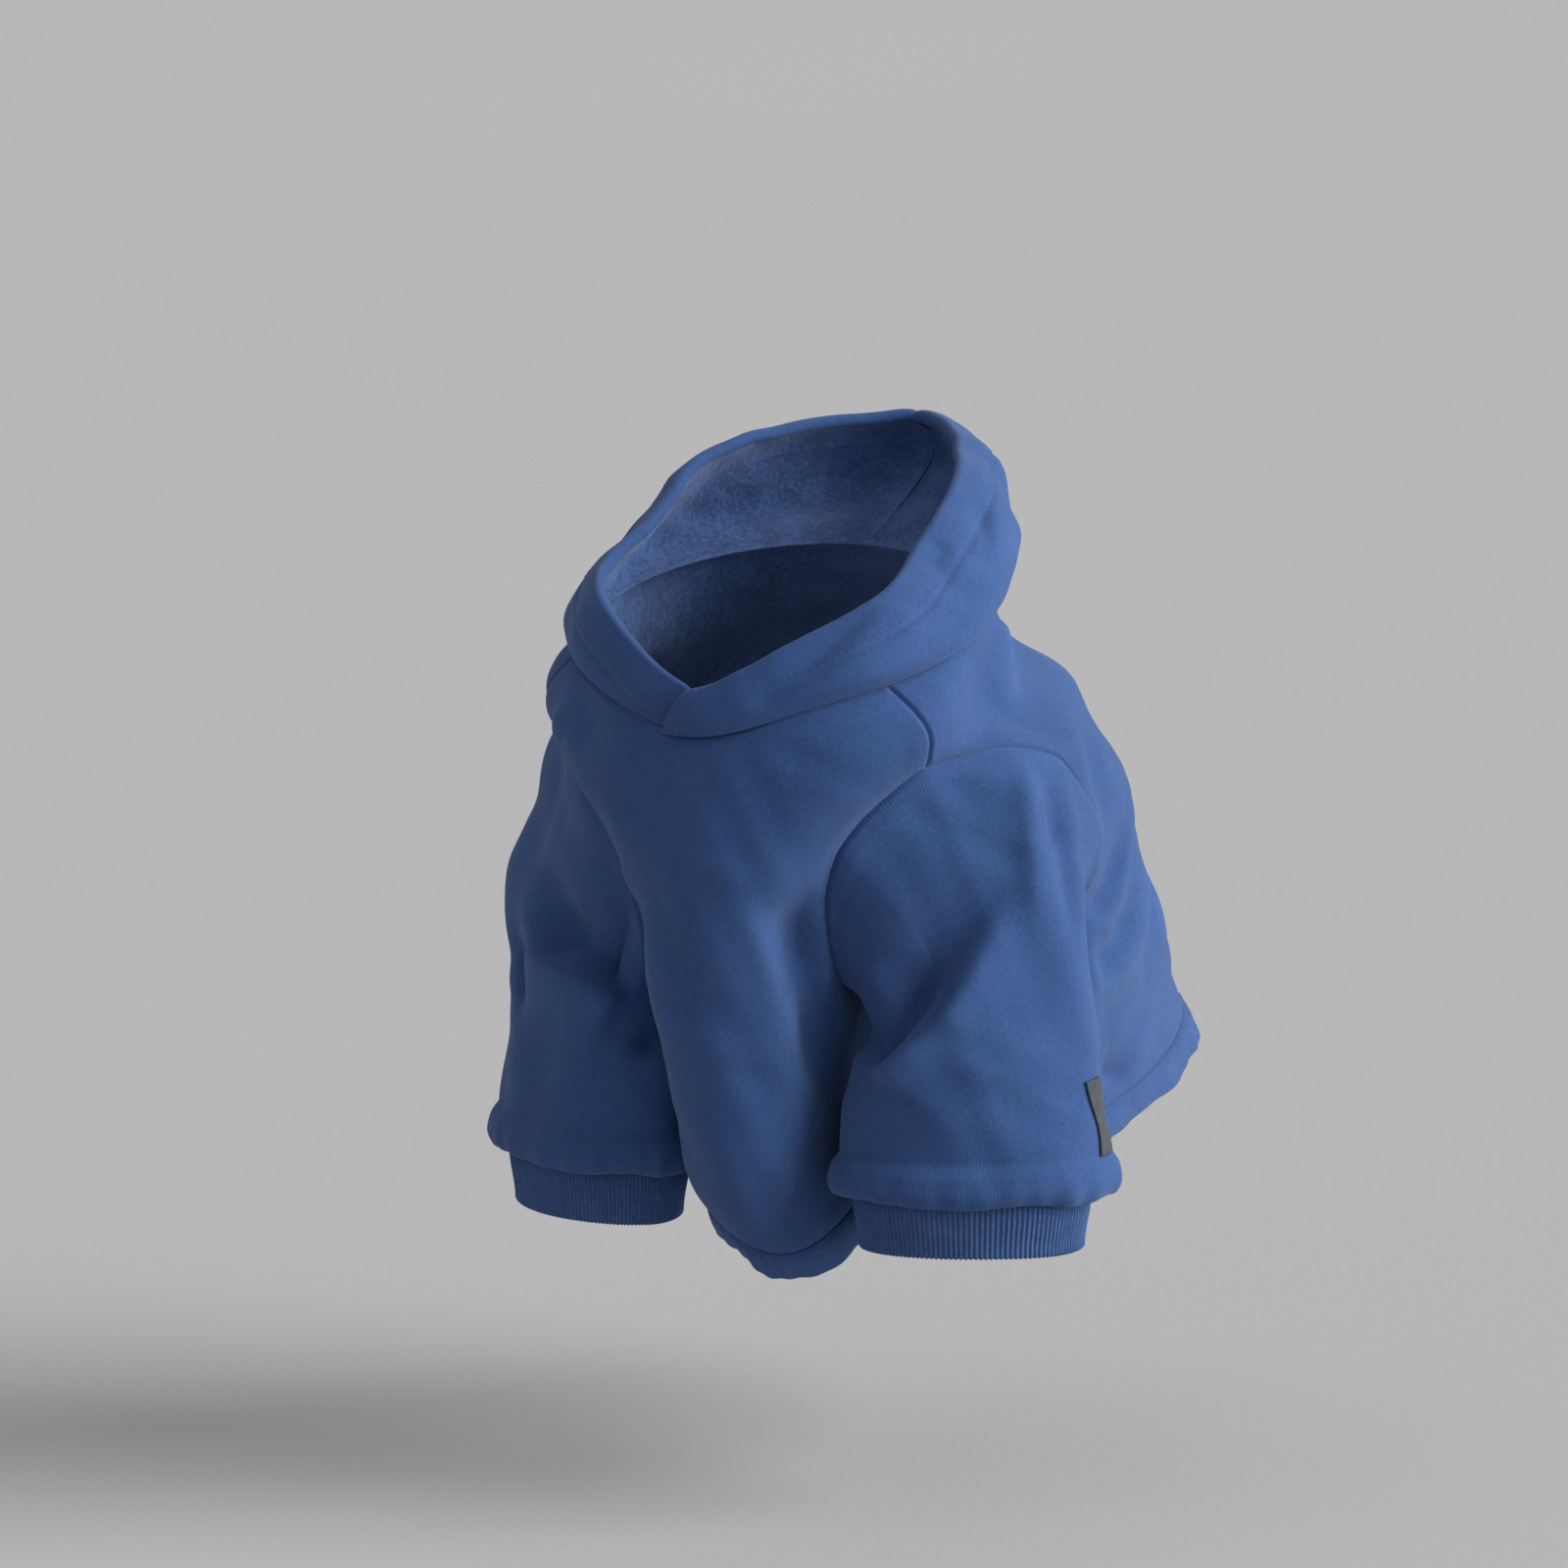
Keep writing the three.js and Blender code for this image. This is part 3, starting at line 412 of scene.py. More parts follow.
def half_width(down, y):
    """Half the body's width at a section, narrow between the sleeves and wide behind."""
    forward = width_at["forward"](down)
    open_from = -SLEEVE_FORWARD - forward * sleeve_reach_y
    open_to = -SLEEVE_FORWARD + (1 - forward) * (sleeve_reach_y + FLANK_CLEARANCE)
    front = lerp(chest_half, BODY_WIDTH / 2, width_at["chest"](down))
    back = BODY_WIDTH / 2 * width_at["flank"](down)
    opened = smooth(open_from, open_to, y)
    return lerp(lerp(front, back, opened), NECK_WIDTH / 2, width_at["neck"](down))


def body(along, down, side):
    """The body's smooth form: along from the chest's middle to the spine, down from neckline to hem."""
    front_y = -NECK_LENGTH + FRONT_SET_BACK * line_at["front_back"](down)
    front_z = -NECK_DROP - FRONT_LENGTH * line_at["front_down"](down)
    back_y = BACK_REACH * line_at["back_out"](down)
    back_z = -BACK_DROP * line_at["back_down"](down)
    share = (1 - np.cos(math.pi * along)) / 2
    y = lerp(front_y, back_y, share)

    squareness = lerp(BACK_SQUARENESS, NECK_SQUARENESS, width_at["neck"](down))
    front_share = np.minimum(share / width_at["round"](down), 1)
    back_share = np.clip(2 * share - 1, 0, 1)
    from_front = np.sqrt(np.maximum(1 - (1 - front_share) ** 2, 0))
    from_back = (1 - back_share**squareness) ** (1 / squareness)

    dip = NECK_DIP * bump(along, MIDDLE_WIDTH) * (1 - smooth(0, 0.3, down))
    tongue = TONGUE_DROP * bump(along * side - TONGUE_MIDDLE, MIDDLE_WIDTH) * smooth(0.5, 1, down)
    flare = HEM_FLARE * smooth(0.9, 1, down)
    flare_out = flare * smooth(0.5, 0.8, along) * from_back
    x = side * (half_width(down, y) * from_front * from_back + flare_out)
    return points(x, y + flare * smooth(0.6, 1, along), lerp(front_z, back_z, share) - dip - tongue)


def inside(share):
    return np.clip(share, 0.002, 0.998)


def body_normal(along, down, side):
    normal = -side * normal_of(lambda a, d: body(a, d, side), inside(along), inside(down))
    middle = (along < 0.002) | (along > 0.998)
    normal[..., 0] = np.where(middle, 0, normal[..., 0])
    return unit(normal)


def armhole_place(turn, away):
    """A place round the armhole seam, moved off it by a share of the way from the hole's middle."""
    along = lerp(armhole_along(turn), HOLE_MIDDLE.along, -away)
    down = lerp(armhole_down(turn), HOLE_MIDDLE.down, -away)
    return along, down


def gap_share(turn, side):
    seam = body(*armhole_place(turn, 0), side)
    middle = body(np.array(HOLE_MIDDLE.along), np.array(HOLE_MIDDLE.down), side)
    return half_gap / np.linalg.norm(seam - middle, axis=-1)


def sleeve_ring(turn, z, side, broad_width, thickness):
    angle = UNDERARM_ANGLE + 2 * math.pi * turn
    broad, thin = broad_width / 2 * np.cos(angle), thickness / 2 * np.sin(angle)
    x = side * (SLEEVE_SPACING / 2 + broad * turn_cosine - thin * turn_sine)
    return points(x, -SLEEVE_FORWARD + broad * turn_sine + thin * turn_cosine, z)


def spring_ring(side):
    """The ways in which a sleeve's cloth leaves its armhole, evened out round the loop."""
    turn = np.arange(SPRING_SAMPLES) / SPRING_SAMPLES
    seam, nearer = armhole_place(turn, 0), armhole_place(turn, -0.05)
    inward = unit(body(*nearer, side) - body(*seam, side))
    lean = np.radians(spring_lean(turn))
    ways = unit(body_normal(*seam, side) * spread(np.cos(lean)) + inward * spread(np.sin(lean)))
    weights = bump(np.minimum(turn, 1 - turn), SPRING_EVENED)
    blend = np.fft.fft(ways, axis=0) * spread(np.fft.fft(weights / weights.sum()))
    evened = np.real(np.fft.ifft(blend, axis=0))
    return np.concatenate([evened, evened[:1]])


spring_rings = {side: spring_ring(side) for side in (LEFT, RIGHT)}


def spring_direction(turn, side):
    turns = np.linspace(0, 1, SPRING_SAMPLES + 1)
    ways = [np.interp(np.mod(turn, 1), turns, values) for values in spring_rings[side].T]
    return unit(np.stack(ways, axis=-1))


def sleeve(turn, down, side):
    """The sleeve's smooth form, from the armhole (0) to the crease over its bloused end (1)."""
    crease = 2 * BLOUSE_ROWS[0].out * BLOUSE_HEIGHT
    start = body(*armhole_place(turn, -gap_share(turn, side)), side)
    leave = spring_direction(turn, side) * spread(spring_reach(turn) * SLEEVE_WIDTH)
    end = sleeve_ring(turn, -SLEEVE_DROP, side, SLEEVE_WIDTH + crease, SLEEVE_THICKNESS + crease)
    arrive = points(0, 0, -SLEEVE_FALL * SLEEVE_WIDTH)
    d = spread(down)
    return (
        start * (2 * d**3 - 3 * d**2 + 1)
        + leave * (d**3 - 2 * d**2 + d)
        + end * (-2 * d**3 + 3 * d**2)
        + arrive * (d**3 - d**2)
    )


def neck_outward(along, side):
    step = 1e-3
    ahead = neck(along + step, side) - neck(along - step, side)
    return unit(side * points(ahead[..., 1], -ahead[..., 0], 0))


def neck(along, side):
    """The neckline from its front (0) to its back (1). Shares below 0 lie across the front's middle."""
    place = body(np.abs(along), 0 * along, side)
    place[..., 0] *= np.where(along < 0, -1, 1)
    return place


def hood(along, up, side, layer):
    """The hood's smooth form, from the neckline (0) to its opening edge (1)."""
    place = np.abs(along)
    outward = neck_outward(np.clip(along, -0.5, 0.999), side)
    rise = hood_at["rise"](place) * HOOD_HEIGHT
    low = neck(along, side) - points(0, 0, SEAM_OVERLAP)
    lift = points(0, 0, rise)
    edge = low + outward * spread(hood_at["out"](place) * HOOD_REACH) + lift
    low_swell = low + outward * spread(hood_at["belly_low"](place) * HOOD_BELLY) + lift * SWELL_RISE
    high_swell = edge + outward * spread(hood_at["belly_high"](place) * HOOD_BELLY) - lift * SWELL_RISE
    u = spread(up)
    rest = 1 - u
    meridian = low * rest**3 + 3 * low_swell * u * rest**2 + 3 * high_swell * u**2 * rest + edge * u**3
    return meridian + outward * spread(layer * (1 - smooth(0.02, 0.2, along)))


def fold_curve(fold, surface):
    """The points of a fold's curve on a surface."""
    t = np.linspace(0, 1, FOLD_SAMPLES)
    start, middle, end = (np.array(place) for place in (fold.start, fold.middle, fold.end))
    control = 2 * middle - (start + end) / 2
    places = (1 - t)[:, None] ** 2 * start + 2 * (t * (1 - t))[:, None] * control + t[:, None] ** 2 * end
    return surface(places[:, 0], places[:, 1], fold.side)


def fold_height(fold, curve, places, normals):
    """How far one fold moves each place outward."""
    chord = curve[-1] - curve[0]
    share = np.clip((places - curve[0]) @ chord / (chord @ chord), 0, 1)
    halfway = len(curve) // 2
    closest = np.argmin(np.linalg.norm(places - curve[halfway], axis=-1))
    across = np.cross(normals.reshape(-1, 3)[closest], curve[halfway + 1] - curve[halfway - 1])
    turned = 1 if across[2] <= 0 else -1
    steps = []
    for start, run in zip(curve[:-1], np.diff(curve, axis=0)):
        offset = places - start
        t = np.clip(offset @ run / (run @ run), 0, 1)
        rest = offset - spread(t) * run
        onward = run / np.linalg.norm(run)
        sideways = unit(np.cross(normals, onward))
        steps.append((np.linalg.norm(rest, axis=-1), rest @ onward, turned * dot(rest, sideways)))
    distances, aheads, belows = (np.stack(values) for values in zip(*steps))
    weights = np.exp((distances.min(axis=0) - distances) / FOLD_BLEND)
    weights = weights / weights.sum(axis=0)
    through = np.sqrt(np.maximum(distances**2 - aheads**2 - belows**2, 0))
    ahead, below, through = ((weights * values).sum(axis=0) for values in (aheads, belows, through))
    upper, lower = bump(below, fold.above), bump(below, fold.below)
    height = -fold.depth * np.where(below < 0, upper, lower)
    crest = np.maximum(below, 0) / (FOLD_CREST * fold.below)
    height = height + fold.lip * crest * np.exp(1 - crest)
    height = height * bump(ahead, fold.above) * bump(through, FOLD_THROUGH)
    if fold.fade_in > 0:
        height = height * smooth(0, fold.fade_in, share)
    if fold.fade_out > 0:
        height = height * (1 - smooth(1 - fold.fade_out, 1, share))
    return height


def folds_height(folds, surface, side, places, normals):
    total = np.zeros(places.shape[:-1])
    for fold in folds:
        if fold.side == side:
            total += fold_height(fold, fold_curve(fold, surface), places, normals)
    return total


Ripple = namedtuple("Ripple", "length height x y z")
RIPPLES = (
    Ripple(0.047, 0.00055, 0.6, 0.5, -0.62),
    Ripple(0.039, 0.00045, -0.7, 0.6, 0.4),
    Ripple(0.031, 0.00035, 0.3, -0.8, 0.5),
    Ripple(0.023, 0.00022, 0.8, 0.1, 0.6),
    Ripple(0.017, 0.00014, -0.2, 0.7, 0.7),
)


def ripple_height(places):
    """The slight unevenness of soft cloth, the same on both sides of a seam."""
    total = np.zeros(places.shape[:-1])
    for i, ripple in enumerate(RIPPLES):
        way = np.array([ripple.x, ripple.y, ripple.z])
        bend = np.sin(2 * math.pi * (places @ np.roll(way, 1)) / (2.7 * ripple.length) + i)
        total += ripple.height * np.sin(2 * math.pi * (places @ way) / ripple.length + 2.1 * bend + 1.7 * i)
    return total


def seam_height(distance):
    """Cloth rolls into a seam and swells a little beside it."""
    puff = SEAM_PUFF * bump(distance - SEAM_PUFF_AT, 0.6 * SEAM_PUFF_AT)
    return puff * smooth(0, SEAM_PUFF_AT, distance) - SEAM_DEPTH * bump(distance, SEAM_WIDTH)


def nearest_on(curve, places):
    """The distance from each place to a curve given by close points, and which point is nearest."""
    tree = KDTree(len(curve))
    for i, place in enumerate(curve):
        tree.insert(place, i)
    tree.balance()
    found = [tree.find(place)[1:] for place in places.reshape(-1, 3)]
    index, distance = (np.array(part).reshape(places.shape[:-1]) for part in zip(*found))
    return distance, index


def distance_to(curve, places):
    return nearest_on(curve, places)[0]


def resampled(curve):
    """A curve's points at an even, close spacing, with whatever columns follow its x, y and z."""
    steps = np.linalg.norm(np.diff(curve[:, :3], axis=0), axis=1)
    run = np.concatenate([[0], np.cumsum(steps)])
    count = max(int(run[-1] / CURVE_SPACING), 2)
    at = np.linspace(0, run[-1], count)
    return np.stack([np.interp(at, run, values) for values in curve.T], axis=1)


def quads(grid):
    """The four corners of each cell of a grid, its neighbours first down and then across."""
    corners = (grid[:-1, :-1], grid[1:, :-1], grid[1:, 1:], grid[:-1, 1:])
    return np.stack(corners, axis=2).reshape(-1, 4, *grid.shape[2:])


def grid_normals(places, facing, around):
    """The outward directions of a grid, from its neighbours."""
    if around:
        wrapped = np.concatenate([places[:, -2:-1], places, places[:, 1:2]], axis=1)
        across = (wrapped[:, 2:] - wrapped[:, :-2]) / 2
    else:
        across = np.gradient(places, axis=1)
    down = np.gradient(places, axis=0)
    return unit(facing * np.cross(down, across))


def rolled_edge(start, end, out, steps):
    """The rings of a half round from one edge of a wall to the other. out is the way out of the cloth."""
    angle = math.pi * np.arange(1, steps + 1)[:, None, None] / (steps + 1)
    middle, arm = (start + end) / 2, (start - end) / 2
    reach = np.linalg.norm(arm, axis=-1, keepdims=True)
    return middle + arm * np.cos(angle) + out * reach * np.sin(angle)


def new_object(name, mesh, *materials):
    for material in materials:
        mesh.materials.append(material)
    made = bpy.data.objects.new(name, mesh)
    bpy.context.scene.collection.objects.link(made)
    return made


Cloth = namedtuple("Cloth", "piece places normals")


def cloth(
    name, form, normals, facing, thickness, relief, materials,
    around=False, rolled=False,
):
    """A closed wall of cloth: the grid of its form, raised by its relief. Its pattern is in metres."""
    relief = np.broadcast_to(relief, form.shape[:2])
    places = form + normals * spread(relief)
    inner = places - normals * thickness
    below = unit(places[-1] - places[-2])
    bottom = rolled_edge(places[-1], inner[-1], below, RIM_STEPS if rolled else 0)
    rings = np.concatenate([places, bottom, inner[::-1]])

    rows, columns = places.shape[:2]
    girth = np.linalg.norm(np.diff(places, axis=1), axis=-1).mean(axis=0)
    run = np.linalg.norm(np.diff(places, axis=0), axis=-1).mean(axis=1)
    u = facing * np.concatenate([[0], np.cumsum(girth)])[None, :] + np.zeros((rows, 1))
    v = np.concatenate([[0], np.cumsum(run)])[:, None] + np.zeros((1, columns))
    measured = np.stack([u, v], axis=-1)
    measured = np.concatenate([measured, measured[-1:].repeat(len(bottom), 0), measured[::-1]])
    relief = np.concatenate([relief, np.zeros((len(rings) - rows, columns))])

    kept = columns - 1 if around else columns
    ids = np.arange(len(rings) * kept).reshape(len(rings), kept)
    if around:
        ids = np.concatenate([ids, ids[:, :1]], axis=1)
    wrapped_ids = np.concatenate([ids, ids[:1]])
    wrapped_measures = np.concatenate([measured, measured[:1]])
    faces = quads(wrapped_ids).tolist()
    uvs = quads(wrapped_measures).tolist()
    inner_rows = range(rows + len(bottom), rows + len(bottom) + rows - 1)
    slots = np.zeros((len(rings), columns - 1), int)
    slots[list(inner_rows)] = 1
    slots = slots.ravel().tolist()
    if not around:
        opposite = 2 * rows + len(bottom) - 1
        for column, outline in ((0, -1), (columns - 1, 1)):
            strips = [[i, i + 1, opposite - i - 1, opposite - i] for i in range(rows - 1)]
            if rolled:
                strips.append(list(range(rows - 1, rows + len(bottom) + 1)))
            for strip in strips:
                strip = strip[::outline]
                faces.append([int(ids[i, column]) for i in strip])
                uvs.append([measured[i, column].tolist() for i in strip])
                slots.append(0)
    if facing < 0:
        faces = [face[::-1] for face in faces]
        uvs = [corners[::-1] for corners in uvs]

    mesh = bpy.data.meshes.new(name)
    mesh.from_pydata(rings[:, :kept].reshape(-1, 3).tolist(), [], faces)
    pattern = mesh.uv_layers.new(name="pattern")
    corners = np.concatenate([np.ravel(face) for face in uvs])
    pattern.data.foreach_set("uv", corners.astype(np.float32))
    mesh.polygons.foreach_set("material_index", np.array(slots, np.int32))
    # The relief is kept on the mesh too, where the fleece's painted highlight on raised cloth reads it.
    values = mesh.attributes.new("relief", "FLOAT", "POINT")
    values.data.foreach_set("value", relief[:, :kept].ravel().astype(np.float32))
    mesh.shade_smooth()
    return Cloth(new_object(name, mesh, *materials), places, grid_normals(places, facing, around))


# Grid counts
SHOULDER_STEPS = 26
ARMHOLE_STEPS = 78
SIDE_STEPS = 52
FRONT_COLUMNS = 170
BACK_COLUMNS = 250
EDGE_CROWDING = 1.5
CAP_CROWDING = 1.35
BACK_CROWDING = 1.2
SLEEVE_COLUMNS = 190
SLEEVE_ROWS = 110
BLOUSE_STEPS = 24
HEM_COLUMNS = 620
HEM_ROWS = 16
HOOD_COLUMNS = 130
HOOD_STEPS = 80
CUFF_SAMPLES_PER_RIB = 8
CUFF_ROWS = 10
LABEL_STEPS = (54, 20)
SEAM_SAMPLES = np.linspace(0, 1, 400)
CURVE_SPACING = 0.0004
CLOSE_BY = 0.02


def seam_curves():
    """Close points on the garment's seams, and the way in which the cloth of both pieces faces at each."""
    curves, directions = [], []
    step = CLOSE_BY

    def add(curve, *facings):
        close = resampled(np.concatenate([curve, sum(facings)], axis=1))
        curves.append(close[:, :3])
        directions.append(unit(close[:, 3:]))

    def faced(curve, ahead, facing):
        return unit(facing * np.cross(ahead - curve, np.gradient(curve, axis=0)))

    start = 0 * SEAM_SAMPLES
    for side in (LEFT, RIGHT):
        neckline = hood(SEAM_SAMPLES, start, side, 0)
        hood_facing = faced(neckline, hood(SEAM_SAMPLES, start + step, side, 0), -side)
        add(body(SEAM_SAMPLES, start, side), body_normal(SEAM_SAMPLES, start, side), hood_facing)
        add(body(SEAM_SAMPLES, start + hem_seam, side), body_normal(SEAM_SAMPLES, start + hem_seam, side))
        hole = armhole_place(SEAM_SAMPLES, 0)
        cap = sleeve(SEAM_SAMPLES, start, side)
        sleeve_facing = faced(cap, sleeve(SEAM_SAMPLES, start + step, side), side)
        add(body(*hole, side), body_normal(*hole, side), sleeve_facing)
        shoulder, underarm = armhole_place(SHOULDER_TURN, 0), armhole_place(0, 0)
        straights = (((SHOULDER_AT_NECK, 0), shoulder), (underarm, (SIDE_SEAM_AT_HEM, hem_seam)))
        for first, last in straights:
            along, down = (lerp(a, b, SEAM_SAMPLES) for a, b in zip(first, last))
            add(body(along, down, side), body_normal(along, down, side))
    return np.concatenate(curves), np.concatenate(directions)


seam_places, seam_directions = seam_curves()


def at_seams(form, facing, around):
    """The way that each place faces, shared with the next piece at a seam, and how far the seam is."""
    distance, index = nearest_on(seam_places, form)
    normals = grid_normals(form, facing, around)
    shared = spread(bump(distance, SEAM_SHARED))
    return unit(lerp(normals, seam_directions[index], shared)), distance


def panel_edge(is_front, side):
    """A panel's side edge, row by row: along, down, and down where the row meets the middle line."""
    sign = -1 if is_front else 1
    gap_along = sign * half_gap / (math.pi / 2 * BODY_WIDTH)
    gap_down = half_gap / FRONT_LENGTH
    shoulder, underarm = armhole_place(SHOULDER_TURN, 0), armhole_place(0, 0)
    t = np.linspace(0, 1, SHOULDER_STEPS, endpoint=False) ** EDGE_CROWDING
    along = lerp(SHOULDER_AT_NECK, shoulder[0], t) + gap_along
    yoke = (along, lerp(gap_down, shoulder[1], t), lerp(gap_down, YOKE_DOWN, t))
    t = np.linspace(0, 1, ARMHOLE_STEPS + 1)
    turn = SHOULDER_TURN + sign * t * (SHOULDER_TURN if is_front else 1 - SHOULDER_TURN)
    along, down = armhole_place(turn, gap_share(turn, side))
    at_seam = (t == 0) | (t == 1)
    hole = (along + gap_along * at_seam, down, lerp(YOKE_DOWN, underarm[1], t))
    t = 1 - (1 - np.linspace(0, 1, SIDE_STEPS + 1)[1:]) ** EDGE_CROWDING
    down = lerp(underarm[1], hem_seam - gap_down, t)
    flank = (lerp(underarm[0], SIDE_SEAM_AT_HEM, t) + gap_along, down, down)
    return [np.concatenate(parts) for parts in zip(yoke, hole, flank)]


def body_panel(name, is_front, columns, materials):
    """A panel ruled from its middle line to its side edges."""
    place = np.linspace(0, 1, columns + 1)
    out = 1 - (1 - np.abs(2 * place - 1)) ** EDGE_CROWDING
    halves = []
    for side, half in ((RIGHT, place < 0.5), (LEFT, place >= 0.5)):
        along, down, middle_down = (spread(part) for part in panel_edge(is_front, side))
        share = out[half][None, :]
        halves.append(body(lerp(0 if is_front else 1, along, share), lerp(middle_down, down, share), side))
    split = halves[0].shape[1]
    places = np.concatenate(halves, axis=1)
    facing = 1 if is_front else -1
    normals, edges = at_seams(places, facing, False)
    height = ripple_height(places)
    for side, part in ((RIGHT, slice(None, split)), (LEFT, slice(split, None))):
        height[:, part] += folds_height(BODY_FOLDS, body, side, places[:, part], normals[:, part])
    height = height * smooth(0, STILL_BY_SEAM, edges) + seam_height(edges)
    return cloth(name, places, normals, facing, WALL, height, materials)


def hem_band(materials):
    """The turned-up hem, all the way round, with a slight pucker from its stitching."""
    turn = np.linspace(0, 1, HEM_COLUMNS + 1)[None, :]
    share = np.linspace(0, 1, HEM_ROWS + 1)[:, None]
    down = lerp(hem_seam + half_gap / FRONT_LENGTH, 1, share) + 0 * turn
    along = 1 - np.abs(2 * turn - 1) + 0 * share
    side = np.where(turn < 0.5, LEFT, RIGHT) + 0 * share
    places = body(along, down, side)
    normals, edges = at_seams(places, 1, True)
    pucker = HEM_PUCKER * wave(turn, 47, 3, 5)
    sway = HEM_SWAY * wave(turn, 11, 2, 3)
    height = HEM_PROUD + seam_height(edges) + (pucker + sway * share) * smooth(0, 0.3, share)
    name = "hem_band_cloth"
    return cloth(name, places, normals, 1, HEM_WALL, height, materials, around=True, rolled=True)


def wave(turn, count, bend, bends, start=0):
    """Uneven waves round a closed edge: count of them, crowded and spread by the bends."""
    return np.sin(2 * math.pi * count * turn + bend * np.sin(2 * math.pi * bends * turn + start))


def sleeve_height(places, normals, down, side):
    """The folds and unevenness of a sleeve, which calm towards its bloused end."""
    folds = folds_height(SLEEVE_FOLDS, sleeve, side, places, normals)
    return ripple_height(places) + folds * (1 - smooth(FOLDS_END, 1, down))


def sleeve_cloth(name, side, materials):
    """A sleeve from its cap seam to its bloused end, where it is gathered onto the cuff."""
    turn = np.linspace(0, 1, SLEEVE_COLUMNS + 1)[None, :]
    down = (np.linspace(0, 1, SLEEVE_ROWS + 1) ** CAP_CROWDING)[:, None]
    tube = sleeve(turn + 0 * down, down + 0 * turn, side)
    normals, edges = at_seams(tube, side, True)
    still = smooth(0, STILL_BY_SEAM, edges)
    height = sleeve_height(tube, normals, down, side) * still + seam_height(edges)

    share = np.linspace(0, 1, BLOUSE_STEPS + 1)[1:, None]
    out, drop = blouse_at["out"](share), blouse_at["down"](share)
    gathers = wave(turn, 13, 2.2, 4, side) + 0.5 * wave(turn, 29, 1, 3, side)
    swell = 2 * (out * BLOUSE_HEIGHT + GATHER_DEPTH * gathers * smooth(0, 0.8, share))
    sag = BLOUSE_SAG * wave(turn, 5, 1, 2, side) * share * (1 - 0.6 * share)
    z = -SLEEVE_DROP - drop * BLOUSE_HEIGHT - sag
    bloused = sleeve_ring(turn + 0 * share, z, side, SLEEVE_WIDTH + swell, SLEEVE_THICKNESS + swell)
    relief = np.concatenate([height, ripple_height(tube[-1:]) * (1 - share)])
    form = np.concatenate([tube, bloused])
    normals = at_seams(form, side, True)[0]
    return cloth(name, form, normals, side, WALL, relief, materials, around=True, rolled=True)


def hood_cloth(name, side, materials):
    """Half of the hood, with the casing turned in along its opening edge."""
    layer = side * (HOOD_WALL / 2 + LAYER_GAP)
    crossing = HOOD_CROSSING / (math.pi / 2 * NECK_WIDTH)
    back_gap = half_gap / (math.pi / 2 * NECK_WIDTH)
    up = np.linspace(0, 1, HOOD_STEPS + 1)[:, None]
    share = (1 - (1 - np.linspace(0, 1, HOOD_COLUMNS + 1)) ** BACK_CROWDING)[None, :]
    along = lerp(-crossing * (1 - up), 1 - back_gap, share)

    def surface(a, b, s):
        return hood(a, b, s, layer)

    places = surface(along, up + 0 * share, side)
    normals, edges = at_seams(places, -side, False)
    back = surface(1 + 0 * SEAM_SAMPLES, SEAM_SAMPLES, side)
    edges = np.minimum(edges, distance_to(resampled(back), places))
    from_rim = distance_to(resampled(places[-1]), places)
    stitched = -CASING_DEPTH * bump(from_rim - CASING_WIDTH, CASING_LINE)
    cased = stitched + CASING_SWELL * bump(from_rim - CASING_WIDTH / 2, CASING_WIDTH / 3)
    height = ripple_height(places) + folds_height(HOOD_FOLDS, surface, side, places, normals)
    height = height * smooth(0, STILL_BY_SEAM, edges) + seam_height(edges) + cased
    return cloth(name, places, normals, -side, HOOD_WALL, height, materials, rolled=True)


def cuff_tube(name, side, materials):
    """A cuff's plain tube, which reaches up inside the sleeve's gathered end."""
    columns = RIB_COUNT * CUFF_SAMPLES_PER_RIB
    turn = np.linspace(0, 1, columns + 1)[None, :]
    share = np.linspace(0, 1, CUFF_ROWS + 1)[:, None]
    top = -SLEEVE_DROP - BLOUSE_HEIGHT
    z = lerp(top + CUFF_TUCKED, top - CUFF_HEIGHT, share)
    narrowing = CUFF_NARROWING * smooth(0, 1, (top - z) / CUFF_HEIGHT)
    tucked = CUFF_TUCK_IN * smooth(0, CUFF_TUCKED, z - top)
    pull = CUFF_PULL * wave(turn, 3, 1, 2, side)
    width, thickness = (size - narrowing - tucked + pull for size in (CUFF_WIDTH, CUFF_THICKNESS))
    places = sleeve_ring(turn + 0 * share, z + 0 * turn, side, width, thickness)
    normals = grid_normals(places, side, True)
    made = cloth(name, places, normals, side, WALL, 0, materials, around=True, rolled=True)
    mesh = made.piece.data
    rings = len(mesh.vertices) // columns
    ribs = np.broadcast_to(turn[:, :-1] * RIB_COUNT, (rings, columns))
    rib = mesh.attributes.new("rib", "FLOAT", "POINT")
    rib.data.foreach_set("value", ribs.ravel().astype(np.float32))
    return made


def label_tape(name, side, materials):
    """The small woven label, sewn flat on a sleeve."""
    around = LABEL_WIDTH / (math.pi / 2 * (SLEEVE_WIDTH + SLEEVE_THICKNESS))
    turn = LABEL_TURN + np.linspace(-0.5, 0.5, LABEL_STEPS[1] + 1)[None, :] * around
    column_z = sleeve(LABEL_TURN + 0 * SEAM_SAMPLES, SEAM_SAMPLES, side)[:, 2]
    ends = np.interp([LABEL_DROP, LABEL_DROP + LABEL_LENGTH], -column_z, SEAM_SAMPLES)
    down = np.linspace(*ends, LABEL_STEPS[0] + 1)[:, None]
    places = sleeve(turn + 0 * down, down + 0 * turn, side)
    normals = grid_normals(places, side, False)
    height = sleeve_height(places, normals, down, side) + LAYER_GAP / 2 + LABEL_WALL
    return cloth(name, places, normals, side, LABEL_WALL, height, materials)


